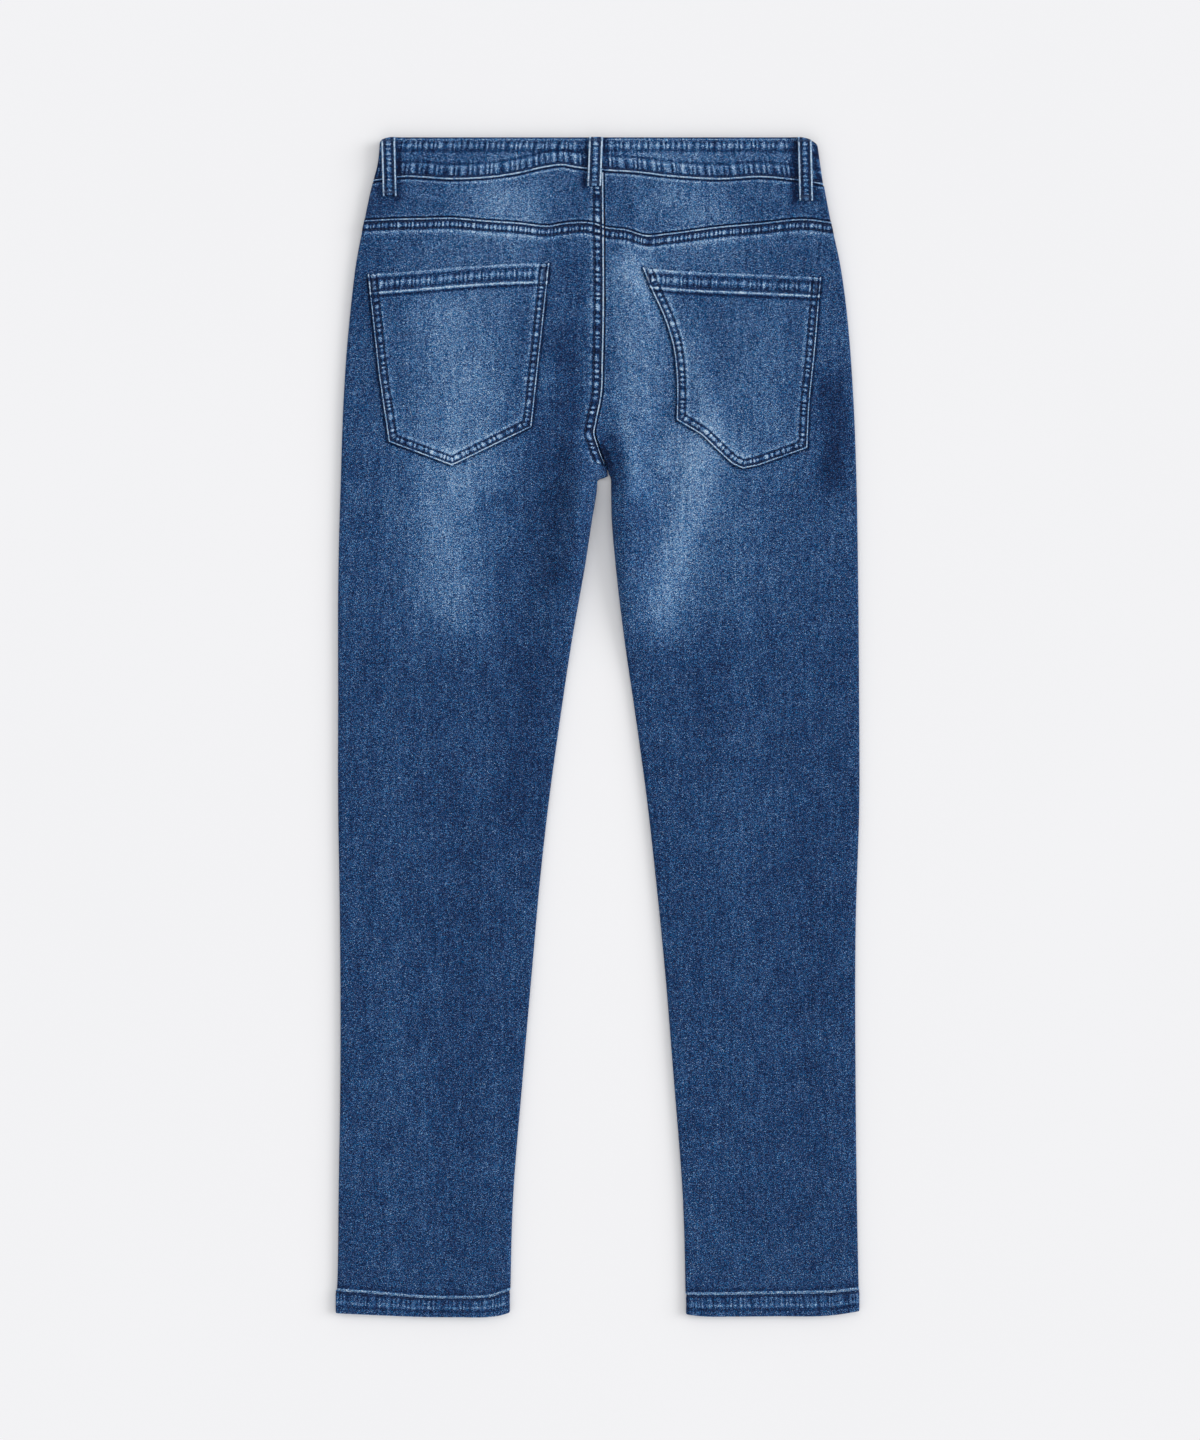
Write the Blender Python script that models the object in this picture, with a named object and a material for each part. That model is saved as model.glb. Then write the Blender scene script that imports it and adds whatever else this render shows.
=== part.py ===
"""Skinny stretch-denim jeans, laid flat on their front with the back uppermost.

Plan places are given in millimetres: x across, growing to the right as one looks down on the back, and
"down", measured from the waistband's top edge towards the hems. z is the height above the surface that the
jeans lie on. "Out" is the distance from the middle line (x = 0), the same for the left and right halves.
"""

import math

import bmesh
import bpy
import numpy as np

MM = 0.001

# Driving dimensions, in millimetres.
LENGTH = 1062.9
WALL = 1.2
SEAM_GAP = 0.3
LIP = 12.0
LIP_GAP = 0.5
SEAM_RAISE = 0.8
FELL_WIDTH = 8.7
FELL_STEP = 0.8

BAND_WALL = 1.6
BAND_DEPTH = 40.0
BAND_UNDERSIDE = 2.3
BAND_BACK_HEIGHT = 6.9
BAND_FRONT_DIP = 16.0
BAND_FRONT_STATIONS = (-20, -60, -100, -140, -170)
BAND_OUTER_END = 22.0
BAND_OVERLAP = (27, 8, -14)
BAND_ROWS = (0, 0.35, 0.65, 1)
WAIST_LIFTED_TO = 70.0
WAIST_DOWN_BY = 110.0

LOOP_WIDTH = 12.6
LOOP_WALL = 1.8
LOOP_BOW = 1.0
LOOP_ROWS = 7
FRONT_LOOP_WALL = 2.0
FRONT_LOOP_OUT = 105.0
FRONT_LOOP_PAST_BAND = 10.0

POCKET_WALL = 1.0
POCKET_HEM_RAISE = 0.6
POCKET_EDGE_RAISE = 0.3
MOUTH_WIDTH = 75.0
MOUTH_DOWN = 124.0

HEM_WALL = 2.2
HEM_TOP = 5.7

CROTCH_X = 5.8
CROTCH_DOWN = 298.0
TOE_END = 303.0
DROP_END = 316.0
CURL_END = 338.0
THIGH_LIFT = 3.0
THIGH_FULLNESS = 1.0
THIGH_OUT = 24.0
THIGH_WIDTH = 13.0
THIGH_LENGTH = 38.0
GROOVE_START = 245.0
GROOVE_FULL = 292.0
GROOVE_FLOOR = 3.3
GROOVE_FLOOR_HALF_WIDTH = 2.5
GROOVE_HALF_WIDTH = 10.0
DROP_FOOT = 0.9

BUTTON_RADIUS = 8.5
BUTTON_HEIGHT = 2.0
BUTTON_X = 4.0
ZIP_HALF_WIDTH = 14.0
ZIP_WALL = 1.0
ZIP_TOP = 64.0
ZIP_FOOT = 186.0

# How finely the cloth is divided: steps round each folded edge, and columns across each layer.
FOLD_TURNS = 4
POCKET_FIRST_COLUMN = FOLD_TURNS + 3
ROWS_ABOVE_POCKET = 4
EVEN_SHARES = (0.12, 0.8)
FRONT_SHARES = np.array([0, 0.06, 0.12, 0.2, 0.35, 0.6, 0.85, 1])
YOKE_PARTS = (0.33, 0.67, 1)
MOUTH_PARTS = (0, 0.2, 0.4, 0.6, 0.75, 0.88, 0.95, 1)
FACING_PARTS = (0, 0.2, 0.4, 0.6, 0.75, 0.88, 0.95, 0.99)


def table(columns, *rows):
    """A short table, read by the names of its columns."""
    return dict(zip(columns.split(), np.array(rows, float).T))


# The flat outline: how far out the left and right edges lie.
OUTLINE = table(
    "down left right",
    (0, 194.0, 193.0),
    (21, 197.6, 199.4),
    (42, 203.0, 204.0),
    (75, 210.2, 210.2),
    (111, 217.4, 218.3),
    (147, 221.9, 223.7),
    (183, 225.5, 227.3),
    (237, 229.1, 230.9),
    (309, 231.6, 233.6),
    (381, 233.6, 234.9),
    (507, 234.0, 236.0),
    (597, 234.0, 236.2),
    (705, 232.4, 233.0),
    (849, 232.0, 232.8),
    (957, 233.6, 234.0),
    (1029, 234.6, 235.4),
    (1063, 236.2, 236.2),
)

# The legs' inner edges, below the crotch.
INSEAM = table(
    "down left right",
    (290, -0.2, 12.0),
    (316, 0.5, 12.2),
    (345, 5.0, 12.8),
    (381, 10.4, 15.8),
    (453, 23.0, 24.2),
    (525, 33.8, 34.7),
    (597, 43.7, 44.6),
    (669, 51.8, 52.7),
    (741, 58.2, 59.9),
    (849, 67.5, 68.8),
    (957, 76.1, 77.0),
    (1063, 79.0, 79.8),
)

# The folded edge of the felled seam down the seat.
SEAT_SEAM = table(
    "down x",
    (28, 5.9),
    (200, 5.6),
    (234, 4.2),
    (256, -0.5),
    (266, -2.2),
    (279, 1.4),
    (298, 9.4),
)

# The waistband's lower edge across the back.
BAND_LINE = table(
    "x down",
    (-203, 40.5),
    (-179, 36.9),
    (-129, 38.7),
    (-95, 36.9),
    (-71, 33.3),
    (-47, 27.9),
    (-31, 26.1),
    (-21, 27.9),
    (4, 30.6),
    (33, 32.4),
    (64, 36.0),
    (113, 38.7),
    (145, 36.9),
    (179, 39.6),
    (205, 43.7),
)

# The upper edge of the felled seam between yoke and back panel.
YOKE_LINE = table(
    "x down",
    (-209, 73.8),
    (-183, 76.5),
    (-132, 72.9),
    (-103, 75.6),
    (-71, 79.2),
    (-42, 81.0),
    (-31, 77.4),
    (-5, 76.5),
    (9, 80.1),
    (25, 81.9),
    (44, 87.3),
    (64, 85.5),
    (113, 79.2),
    (145, 76.5),
    (190, 72.9),
    (211, 75.6),
)

POCKET_MOUTH_LINE = table(
    "x down",
    (-207.5, 123.3),
    (-42.8, 113.4),
    (0, 115.0),
    (40, 117.0),
    (58, 118.8),
    (145, 123.3),
    (202, 126.0),
)

POCKET_FOOT_LINE = table(
    "x down",
    (-188.6, 274.5),
    (-131, 296.1),
    (-59, 261.0),
    (0, 257.0),
    (70.7, 254.7),
    (93, 268.0),
    (109, 283.5),
    (121, 294.5),
    (131, 298.8),
    (145, 296.0),
    (189.5, 280.0),
)

# How far out each pocket's two sides lie, from its mouth (part 0) to its lower corners (part 1).
POCKET_SIDES = {
    -1: table("part outer inner", (0, 207.5, 42.8), (0.6, 197.6, 52.5), (1, 188.6, 59.0)),
    1: table(
        "part outer inner",
        (0, 202.0, 40.0),
        (0.14, 200.0, 48.0),
        (0.29, 198.3, 58.0),
        (0.52, 195.0, 68.0),
        (0.7, 192.0, 70.7),
        (1, 189.5, 70.7),
    ),
}
POCKET_TIP = {-1: 0.445, 1: 0.49}
POCKET_PARTS = (0, 0.105, 0.2, 0.4, 0.6, 0.8, 0.92, 1)

HEM_LINE = table(
    "x down",
    (-236, 1038.6),
    (-155, 1045.8),
    (-108, 1045.8),
    (-85, 1040.2),
    (79, 1042.2),
    (158, 1041.3),
    (236, 1037.7),
)

LEG_END_LINE = table(
    "x down",
    (-236, 1059.3),
    (-155, 1062.9),
    (-97, 1062.9),
    (-78, 1058.4),
    (79, 1060.2),
    (158, 1062.0),
    (236, 1057.5),
)

# Rows of the back panels below the pockets: where each meets the seat seam or inner edge, and how much of the
# pocket foot's point it still follows.
THIGH_ROWS = table(
    "down follows",
    (272, 0.88),
    (283, 0.76),
    (291, 0.68),
    (298, 0.60),
    (303, 0.55),
    (308, 0.50),
    (316, 0.42),
    (325, 0.34),
    (340, 0.24),
    (362, 0.12),
    (390, 0.0),
)
LEG_PARTS = (0.05, 0.1, 0.17, 0.25, 0.35, 0.46, 0.58, 0.7, 0.82, 0.92, 1)

# Height of the upper layer's top face, away from folds.
CROWN = table(
    "down height",
    (25, 7.4),
    (60, 7.4),
    (80, 6.8),
    (120, 6.1),
    (180, 5.6),
    (260, 5.4),
    (320, 5.2),
    (400, 5.0),
    (1063, 5.0),
)

# Folds of the upper layer: a soft ridge (or trough, below zero) from one place to another.
FOLDS = table(
    "x1 down1 x2 down2 height width",
    (-165, 330, -120, 430, 1.0, 30),
    (92, 286, 56, 420, 1.2, 16),
    (84, 170, 104, 262, 0.8, 14),
    (26, 110, 36, 245, 0.7, 14),
    (-26, 120, -22, 230, -0.6, 14),
    (46, 122, 70, 205, -0.6, 9),
    (72, 225, 42, 288, -0.7, 11),
    (-95, 54, -50, 52, 0.6, 14),
    (58, 58, 96, 52, 0.5, 13),
    (-48, 262, -88, 330, -0.6, 14),
    (140, 330, 128, 430, 0.7, 22),
    (-60, 360, -70, 470, -0.5, 18),
    (-190, 560, -184, 900, 0.4, 18),
    (-122, 620, -126, 1000, -0.4, 20),
    (122, 520, 132, 760, 0.5, 20),
    (190, 600, 184, 980, -0.4, 20),
)

# How far out from the seat seam the last columns of each half lie. The left half carries the felled seam.
SEAT_STEPS = {-1: (16, 10.9, 10.3, 7, 4, 2, 0), 1: (16, 13, 10, 7, 4.5, 2, 0)}


def mix(low, high, part):
    return low + (high - low) * part


def eased(low, high, value):
    """0 below low, 1 above high, and a soft step between."""
    part = np.clip((value - low) / (high - low), 0, 1)
    return part * part * (3 - 2 * part)


def smooth(rows, key, column, where):
    """Reads a column along a smooth curve through its rows."""
    keys, values = rows[key], rows[column]
    where = np.clip(where, keys[0], keys[-1])
    slopes = np.gradient(values, keys)
    low = np.clip(np.searchsorted(keys, where) - 1, 0, len(keys) - 2)
    span = keys[low + 1] - keys[low]
    part = (where - keys[low]) / span
    rest = 1 - part
    ends = values[low] * (1 + 2 * part) * rest**2 + values[low + 1] * (3 - 2 * part) * part**2
    return ends + span * part * rest * (slopes[low] * rest - slopes[low + 1] * part)


def edge_name(side):
    return "left" if side < 0 else "right"


def outline(side, down):
    return smooth(OUTLINE, "down", edge_name(side), down)


def inseam(side, down):
    return smooth(INSEAM, "down", edge_name(side), down)


def seat_seam(down):
    return smooth(SEAT_SEAM, "down", "x", down)


def centre_front(down):
    """The line where the two front panels meet."""
    return CROTCH_X * eased(150, CROTCH_DOWN, down)


def line(rows, shift=0.0):
    return lambda x: np.interp(x, rows["x"], rows["down"]) + shift


def level(down):
    return lambda x: down + 0 * x


def between(first, second, part):
    return lambda x: mix(first(x), second(x), part)


def fold_rise(x, down):
    """How far the folds raise or sink the upper layer."""
    rise = 0 * (x + down)
    for x1, down1, x2, down2, height, width in zip(*FOLDS.values()):
        run_x, run_down = x2 - x1, down2 - down1
        along = ((x - x1) * run_x + (down - down1) * run_down) / (run_x**2 + run_down**2)
        along = np.clip(along, 0, 1)
        away = np.hypot(x - x1 - along * run_x, down - down1 - along * run_down)
        rise = rise + height * np.exp(-((away / width) ** 2))
    return rise


def thigh_bulge(x, down):
    """1 on the two thighs beside the crotch, falling away to 0 all round."""
    out = (np.abs(x - CROTCH_X) - THIGH_OUT) / THIGH_WIDTH
    return np.exp(-(out**2) - ((down - CROTCH_DOWN) / THIGH_LENGTH) ** 2)


def ground(x, down):
    """Height of the lower layer's underside. The front loops and the button lift the waist a little."""
    waist = BAND_UNDERSIDE * (1 - eased(WAIST_LIFTED_TO, WAIST_DOWN_BY, down))
    return waist + THIGH_LIFT * thigh_bulge(x, down)


def crown(x, down):
    """Height of the upper layer's top face, with its folds and the deep groove that ends at the crotch."""
    height = smooth(CROWN, "down", "height", down) + fold_rise(x, down)
    height = height + (THIGH_LIFT + THIGH_FULLNESS) * thigh_bulge(x, down)
    across = 1 - eased(GROOVE_FLOOR_HALF_WIDTH, GROOVE_HALF_WIDTH, np.abs(x - CROTCH_X))
    return mix(height, GROOVE_FLOOR, across * eased(GROOVE_START, GROOVE_FULL, down))


def turn(out, low, high, towards, first, last):
    """Points round a folded edge of the cloth's middle line, from angle first to last (90 is the top)."""
    radius = (high - low) / 2
    angles = np.radians(np.linspace(first, last, FOLD_TURNS + 1))
    centre = out - towards * radius
    height = (low + high) / 2 + radius * np.sin(angles)
    return np.stack([centre + towards * radius * np.cos(angles), height], axis=1)


def edge_heights(side, out, down):
    """Middle heights of the lower and the upper layer where a folded edge begins."""
    x = side * out
    return ground(x, down) + WALL / 2, crown(x, down) - WALL / 2


def outer_edge(side, down):
    """Middle line over the outer edge: from the end of the lip underneath to the top. Columns: out, z."""
    out = outline(side, down) - WALL / 2
    low, high = edge_heights(side, out - 2, down)
    fold = turn(out, low, high, 1, -90, 90)
    lip_out = fold[0, 0] - LIP
    lip_end = [[lip_out, ground(side * lip_out, down) + WALL / 2]]
    return np.concatenate([lip_end, fold])


def inner_edge(side, down):
    """Middle line at the inner side: flat up to the seat seam, dropping at the crotch, then curled round the leg."""
    above = min(down, TOE_END)
    seat_out = side * seat_seam(above) + SEAM_GAP / 2 + np.array(SEAT_STEPS[side], float)
    flat = np.stack([seat_out, crown(side * seat_out, above) - WALL / 2], axis=1)

    out = inseam(side, down) + WALL / 2
    low, high = edge_heights(side, out + 2, down)
    curl = turn(out, low, high, -1, 90, -90)
    lip_out = curl[-1, 0] + np.array([LIP / 2, LIP])
    lip = np.stack([lip_out, ground(side * lip_out, down) + WALL / 2], axis=1)
    curled = np.concatenate([curl, lip])

    foot = np.stack([np.full(4, out), np.linspace(curl[2, 1], DROP_FOOT, 5)[1:]], axis=1)
    dropped = np.concatenate([curl[:3], foot])

    edge = mix(flat, dropped, eased(TOE_END, DROP_END, down))
    return mix(edge, curled, eased(DROP_END, CURL_END, down))


def front_inner(side, down):
    """How far out the front panel's inner side lies."""
    middle = side * centre_front(down) + SEAM_GAP / 2
    upright = 1 - eased(DROP_END, CURL_END, down)
    curled = inner_edge(side, max(down, DROP_END))[-1, 0] + LIP_GAP + upright * WALL / 2
    return mix(middle, curled, eased(CROTCH_DOWN, TOE_END, down))


def front_outer(side, down):
    """How far out the lower layer reaches before it meets the back panel's lip."""
    return outer_edge(side, down)[0, 0] - LIP_GAP


def band_front_line(x):
    """The waistband's lower edge across the front, which hangs lower at the centre."""
    side_down = np.where(x < 0, BAND_LINE["down"][0], BAND_LINE["down"][-1])
    centre_down = BAND_FRONT_DIP + BAND_DEPTH
    return mix(centre_down, side_down, eased(0, 200, np.abs(x)))


def pocket_columns(side):
    """Shares of the way across the pocket, from its outer side to its inner side, with one column on its tip."""
    tip = POCKET_TIP[side]
    return np.array([0, 0.08, 0.58 * tip, tip, mix(tip, 1, 0.33), mix(tip, 1, 0.64), 0.92, 1])


def outer_down(side, row_line):
    """How far down a row meets the outer edge."""
    return float(row_line(side * outline(side, row_line(side * 220.0))))


def inner_down(side, row_line):
    """How far down a row meets the seat seam or the leg's inner edge."""
    return float(row_line(side * inseam(side, row_line(side * 10.0)) + side * 5.0))


def front_waist_line(x):
    """The upper edge of the front panels, just below the waistband."""
    return band_front_line(x) + SEAM_GAP


def pocket_line(part):
    """The row across the pockets, from their mouths (part 0) to their feet (part 1)."""
    return between(line(POCKET_MOUTH_LINE), line(POCKET_FOOT_LINE), part)


def pocket_share(side, part):
    """Where the pocket's two sides fall, as shares of the way across its row."""
    sides = POCKET_SIDES[side]
    first = outer_edge(side, outer_down(side, pocket_line(part)))[-1, 0]
    last = inner_edge(side, inner_down(side, pocket_line(part)))[0, 0]
    outer = np.interp(part, sides["part"], sides["outer"])
    inner = np.interp(part, sides["part"], sides["inner"])
    return (first - outer) / (first - last), (first - inner) / (first - last)


def row_points(side, row_line, part, follows, under_line=None):
    """The middle line of the upper layer along one row, as x, down, z."""
    outer = outer_edge(side, outer_down(side, row_line))
    inner = inner_edge(side, inner_down(side, row_line))
    ends = outer[-1, 0], inner[0, 0]
    share_outer, share_inner = pocket_share(side, part)
    share_outer = mix(EVEN_SHARES[0], share_outer, follows)
    share_inner = mix(EVEN_SHARES[1], share_inner, follows)
    pocket = mix(share_outer, share_inner, pocket_columns(side))
    beside = mix(share_inner, 1, np.array([0.34, 0.68]))
    shares = np.concatenate([[share_outer / 2], pocket, beside])
    out = mix(ends[0], ends[1], shares)
    across_down = row_line(side * out)
    across = np.stack([out, crown(side * out, across_down) - WALL / 2], axis=1)
    path = np.concatenate([outer, across, inner])
    down = row_line(side * path[:, 0])
    if under_line is not None:
        over = np.concatenate([[0], np.linspace(0, 1, FOLD_TURNS + 1), np.ones(len(path) - FOLD_TURNS - 2)])
        down = mix(under_line(side * path[:, 0]), down, over)
    return np.stack([side * path[:, 0], down, path[:, 1]], axis=1)


def thickened(middle, side, raised):
    """The outer and inner faces of cloth whose middle line is given by rows."""
    flat = middle[:, :, [0, 2]] * np.array([side, 1])
    run = np.gradient(flat, axis=1)
    run /= np.linalg.norm(run, axis=2, keepdims=True)
    normal = np.stack([side * run[:, :, 1], 0 * run[:, :, 0], -run[:, :, 0]], axis=2)
    above = middle[:, -1, 1] <= TOE_END
    normal[above, -1] = (0, 0, 1)
    outer = middle + normal * (WALL / 2 + raised)[:, :, None]
    inner = middle - normal * WALL / 2
    return outer, inner


def seat_raise(side, rows, columns, downs):
    """The left half carries the felled seam down the seat, raised in its outer face."""
    raised = np.zeros((rows, columns))
    if side < 0:
        raised[:, -5:] = (SEAM_RAISE * (1 - eased(CROTCH_DOWN - 12, CROTCH_DOWN, downs)))[:, None]
    return raised


def material(name, colour, roughness, metallic=0.0):
    made = bpy.data.materials.new(name)
    made.use_nodes = True
    shader = made.node_tree.nodes["Principled BSDF"]
    shader.inputs["Base Color"].default_value = (*colour, 1.0)
    shader.inputs["Roughness"].default_value = roughness
    shader.inputs["Metallic"].default_value = metallic
    return made


def denim(name):
    return material(name, (0.045, 0.085, 0.175), 0.92)


def add_object(name, mesh, made_of):
    mesh.materials.append(made_of)
    piece = bpy.data.objects.new(name, mesh)
    JEANS.objects.link(piece)
    return piece


def placed(points):
    """World places of points given as x, down, z."""
    x, down, z = np.moveaxis(points, -1, 0)
    return np.stack([x, LENGTH / 2 - down, z], axis=-1) * MM


def wall(name, outer, inner, made_of, closed=False):
    """One closed piece of cloth between two grids of points, both split on the same diagonal."""
    rows, columns = outer.shape[:2]
    points = placed(np.concatenate([outer.reshape(-1, 3), inner.reshape(-1, 3)]))
    outside, inside = np.arange(2 * rows * columns).reshape(2, rows, columns)
    if closed:
        outside = np.concatenate([outside, outside[:, :1]], axis=1)
        inside = np.concatenate([inside, inside[:, :1]], axis=1)
    bands = [(outside[:-1], outside[1:]), (inside[:-1], inside[1:])]
    bands += [(outside[[0]], inside[[0]]), (outside[[-1]], inside[[-1]])]
    if not closed:
        bands += [(outside[:, [0]].T, inside[:, [0]].T), (outside[:, [-1]].T, inside[:, [-1]].T)]
    faces = []
    for first, second in bands:
        corners = first[:, :-1], first[:, 1:], second[:, 1:], second[:, :-1]
        a, b, c, d = (corner.reshape(-1) for corner in corners)
        faces += np.stack([a, b, c], axis=1).tolist()
        faces += np.stack([a, c, d], axis=1).tolist()
    mesh = bpy.data.meshes.new(name)
    mesh.from_pydata(points.tolist(), [], faces)
    shape = bmesh.new()
    shape.from_mesh(mesh)
    bmesh.ops.recalc_face_normals(shape, faces=shape.faces)
    shape.to_mesh(mesh)
    shape.free()
    mesh.shade_smooth()
    mesh.set_sharp_from_angle(angle=math.radians(40))
    return add_object(name, mesh, made_of)


def make_yoke(side):
    """The yoke, from the waistband down to the felled seam, turned over the outer edge."""
    top = line(BAND_LINE, SEAM_GAP)
    rows = [row_points(side, top, 0, 1, front_waist_line)]
    for part in YOKE_PARTS:
        rows.append(row_points(side, between(top, line(YOKE_LINE), part), 0, 1))
    middle = np.array(rows)
    raised = seat_raise(side, *middle.shape[:2], middle[:, -1, 1])
    outer, inner = thickened(middle, side, raised)
    wall(f"yoke_{edge_name(side)}", outer, inner, denim(f"yoke denim {edge_name(side)}"))
    return outer


def leg_lines(side):
    """Row lines below the pockets, which both layers follow, and how much each still follows the pocket's foot."""
    corner = np.interp(0, POCKET_FOOT_LINE["x"], POCKET_FOOT_LINE["down"])
    lines = []
    for down, follows in zip(*THIGH_ROWS.values()):
        lines.append((between(level(down), line(POCKET_FOOT_LINE, down - corner), follows), follows))
    last = level(THIGH_ROWS["down"][-1])
    for part in LEG_PARTS:
        lines.append((between(last, line(HEM_LINE, -SEAM_GAP), part), 0))
    return lines


def back_rows(side):
    """Rows of the back panel, from the felled yoke seam to the hem."""
    seam_foot = line(YOKE_LINE, FELL_WIDTH + FELL_STEP)
    rows = [
        row_points(side, line(YOKE_LINE, SEAM_GAP), 0, 1),
        row_points(side, line(YOKE_LINE, FELL_WIDTH), 0, 1),
        row_points(side, seam_foot, 0, 1),
        row_points(side, between(seam_foot, pocket_line(0), 0.5), 0, 1),
    ]
    for part in POCKET_PARTS:
        rows.append(row_points(side, pocket_line(part), part, 1))
    for row_line, follows in leg_lines(side):
        rows.append(row_points(side, row_line, 1, follows))
    return np.array(rows)


def make_back(side):
    """The back panel with its patch pocket."""
    middle = back_rows(side)
    raised = seat_raise(side, *middle.shape[:2], middle[:, -1, 1])
    over_edge = np.concatenate([np.zeros(FOLD_TURNS), [0.5], np.ones(middle.shape[1] - FOLD_TURNS - 1)])
    raised[:2] = np.maximum(raised[:2], SEAM_RAISE * over_edge)
    outer, inner = thickened(middle, side, raised)
    name = edge_name(side)
    wall(f"back_{name}", outer, inner, denim(f"back denim {name}"))

    rows = slice(ROWS_ABOVE_POCKET, ROWS_ABOVE_POCKET + len(POCKET_PARTS))
    columns = slice(POCKET_FIRST_COLUMN, POCKET_FIRST_COLUMN + len(pocket_columns(side)))
    lies_on = outer[rows, columns]
    thickness = np.full(lies_on.shape[:2], POCKET_WALL)
    thickness[:, [0, -1]] += POCKET_EDGE_RAISE
    thickness[-1] = POCKET_WALL + POCKET_EDGE_RAISE
    thickness[:2] = POCKET_WALL + POCKET_HEM_RAISE
    underside = lies_on + (0, 0, SEAM_GAP)
    face = underside + thickness[:, :, None] * (0, 0, 1)
    wall(f"back_pocket_{name}", face, underside, denim(f"pocket denim {name}"))
    return middle[-1]


def mouth_width(part):
    """How far the pocket mouth's curve stands in from the side, from the waistband (0) to its lower end (1)."""
    widths = MOUTH_WIDTH * np.sqrt(1 - np.square(MOUTH_PARTS))
    return np.interp(part, MOUTH_PARTS, widths)


def lower_row(side, row_line, low_out, high_out, shares):
    """One row of the lower layer, from low_out to high_out, as its underside's x, down, z."""
    x = side * mix(low_out, high_out, shares)
    down = row_line(x)
    return np.stack([x, down, ground(x, down)], axis=1)


def make_front(side):
    """The front panel on the ground, and the facing that fills its scooped pocket mouth."""
    name = edge_name(side)
    rows, facing = [], []
    for part in sorted({*MOUTH_PARTS, *FACING_PARTS}):
        row_line = between(front_waist_line, level(MOUTH_DOWN), part)
        end = front_outer(side, outer_down(side, row_line))
        curve_out = end - mouth_width(part)
        if part in MOUTH_PARTS:
            middle_out = front_inner(side, inner_down(side, row_line))
            rows.append(lower_row(side, row_line, middle_out, curve_out, FRONT_SHARES))
        if part in FACING_PARTS:
            facing.append(lower_row(side, row_line, curve_out + SEAM_GAP, end, np.linspace(0, 1, 4)))
    lines = [pocket_line(part) for part in POCKET_PARTS[2:]]
    for row_line in lines + [leg_line for leg_line, _ in leg_lines(side)]:
        inner = front_inner(side, inner_down(side, row_line))
        outer = front_outer(side, outer_down(side, row_line))
        rows.append(lower_row(side, row_line, inner, outer, FRONT_SHARES))
    for piece, points in ((f"front_{name}", rows), (f"front_pocket_{name}", facing)):
        underside = np.array(points)
        wall(piece, underside, underside + (0, 0, WALL), denim(f"{piece} denim"))
    return rows[-1]


def make_waistband(yokes):
    """One strip round the top: from its outer end at centre front round the left side, the back and the right."""
    low = BAND_UNDERSIDE + BAND_WALL / 2
    high = BAND_BACK_HEIGHT
    stations = []

    def add_front(places, z):
        for x in places:
            stations.append((x, z, 0, band_front_line(x)))

    def add_over(side, columns):
        """Over the side and across one half of the back, at the yoke's own places."""
        yoke = yokes[side][0]
        edge = outline(side, BAND_LINE["down"][0]) - BAND_WALL / 2
        fold = turn(edge, low, high, 1, -90, 90)
        for column in columns:
            x, down = yoke[column, :2]
            z = high
            part = 1
            if column <= FOLD_TURNS + 1:
                x, z = side * fold[column - 1, 0], fold[column - 1, 1]
                part = (column - 1) / FOLD_TURNS
            stations.append((x, z, part, down - SEAM_GAP))

    columns = range(1, yokes[-1].shape[1])
    add_front((BAND_OUTER_END, *BAND_FRONT_STATIONS, yokes[-1][0, 0, 0]), low)
    add_over(-1, columns)
    add_over(1, reversed(columns))
    add_front((yokes[1][0, 0, 0], *(-x for x in reversed(BAND_FRONT_STATIONS[1:]))), low)
    add_front(BAND_OVERLAP, low + BAND_WALL + SEAM_GAP)

    x, z, over, lower_edge = np.array(stations, float).T
    front_top = BAND_FRONT_DIP * (1 - eased(0, 200, np.abs(x)))
    upper_edge = front_top * (1 - over)
    rows = []
    for part in BAND_ROWS:
        down = mix(upper_edge, lower_edge, part)
        left_reach = outline(-1, down) / outline(-1, lower_edge)
        right_reach = outline(1, down) / outline(1, lower_edge)
        reach = np.where(x < 0, left_reach, right_reach)
        rows.append(np.stack([x * reach, down, z], axis=1))
    middle = np.array(rows)
    run = np.gradient(middle[:, :, [0, 2]], axis=1)
    run /= np.linalg.norm(run, axis=2, keepdims=True)
    normal = np.stack([run[:, :, 1], 0 * run[:, :, 0], -run[:, :, 0]], axis=2)
    outward = -normal * BAND_WALL / 2
    wall("waistband", middle + outward, middle - outward, denim("waistband denim"))


def make_loop(name, ends, heights, thickness):
    """A belt loop: a folded strip from the band's top edge to just past its lower edge.

    ends holds the x and down of its two ends, and heights its underside's height along the way.
    """
    (top_x, top), (foot_x, foot) = ends
    rows = []
    for part in np.linspace(0, 1, LOOP_ROWS):
        down = mix(top, foot, part)
        x = mix(top_x, foot_x, part) + LOOP_WIDTH * np.array([-0.5, -0.28, 0.28, 0.5])
        rows.append(np.stack([x, 0 * x + down, 0 * x + smooth(heights, "part", "z", part)], axis=1))
    underside = np.array(rows)
    face = underside + thickness[None, :, None] * (0, 0, 1)
    wall(name, face, underside, denim(f"{name} denim"))


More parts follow.
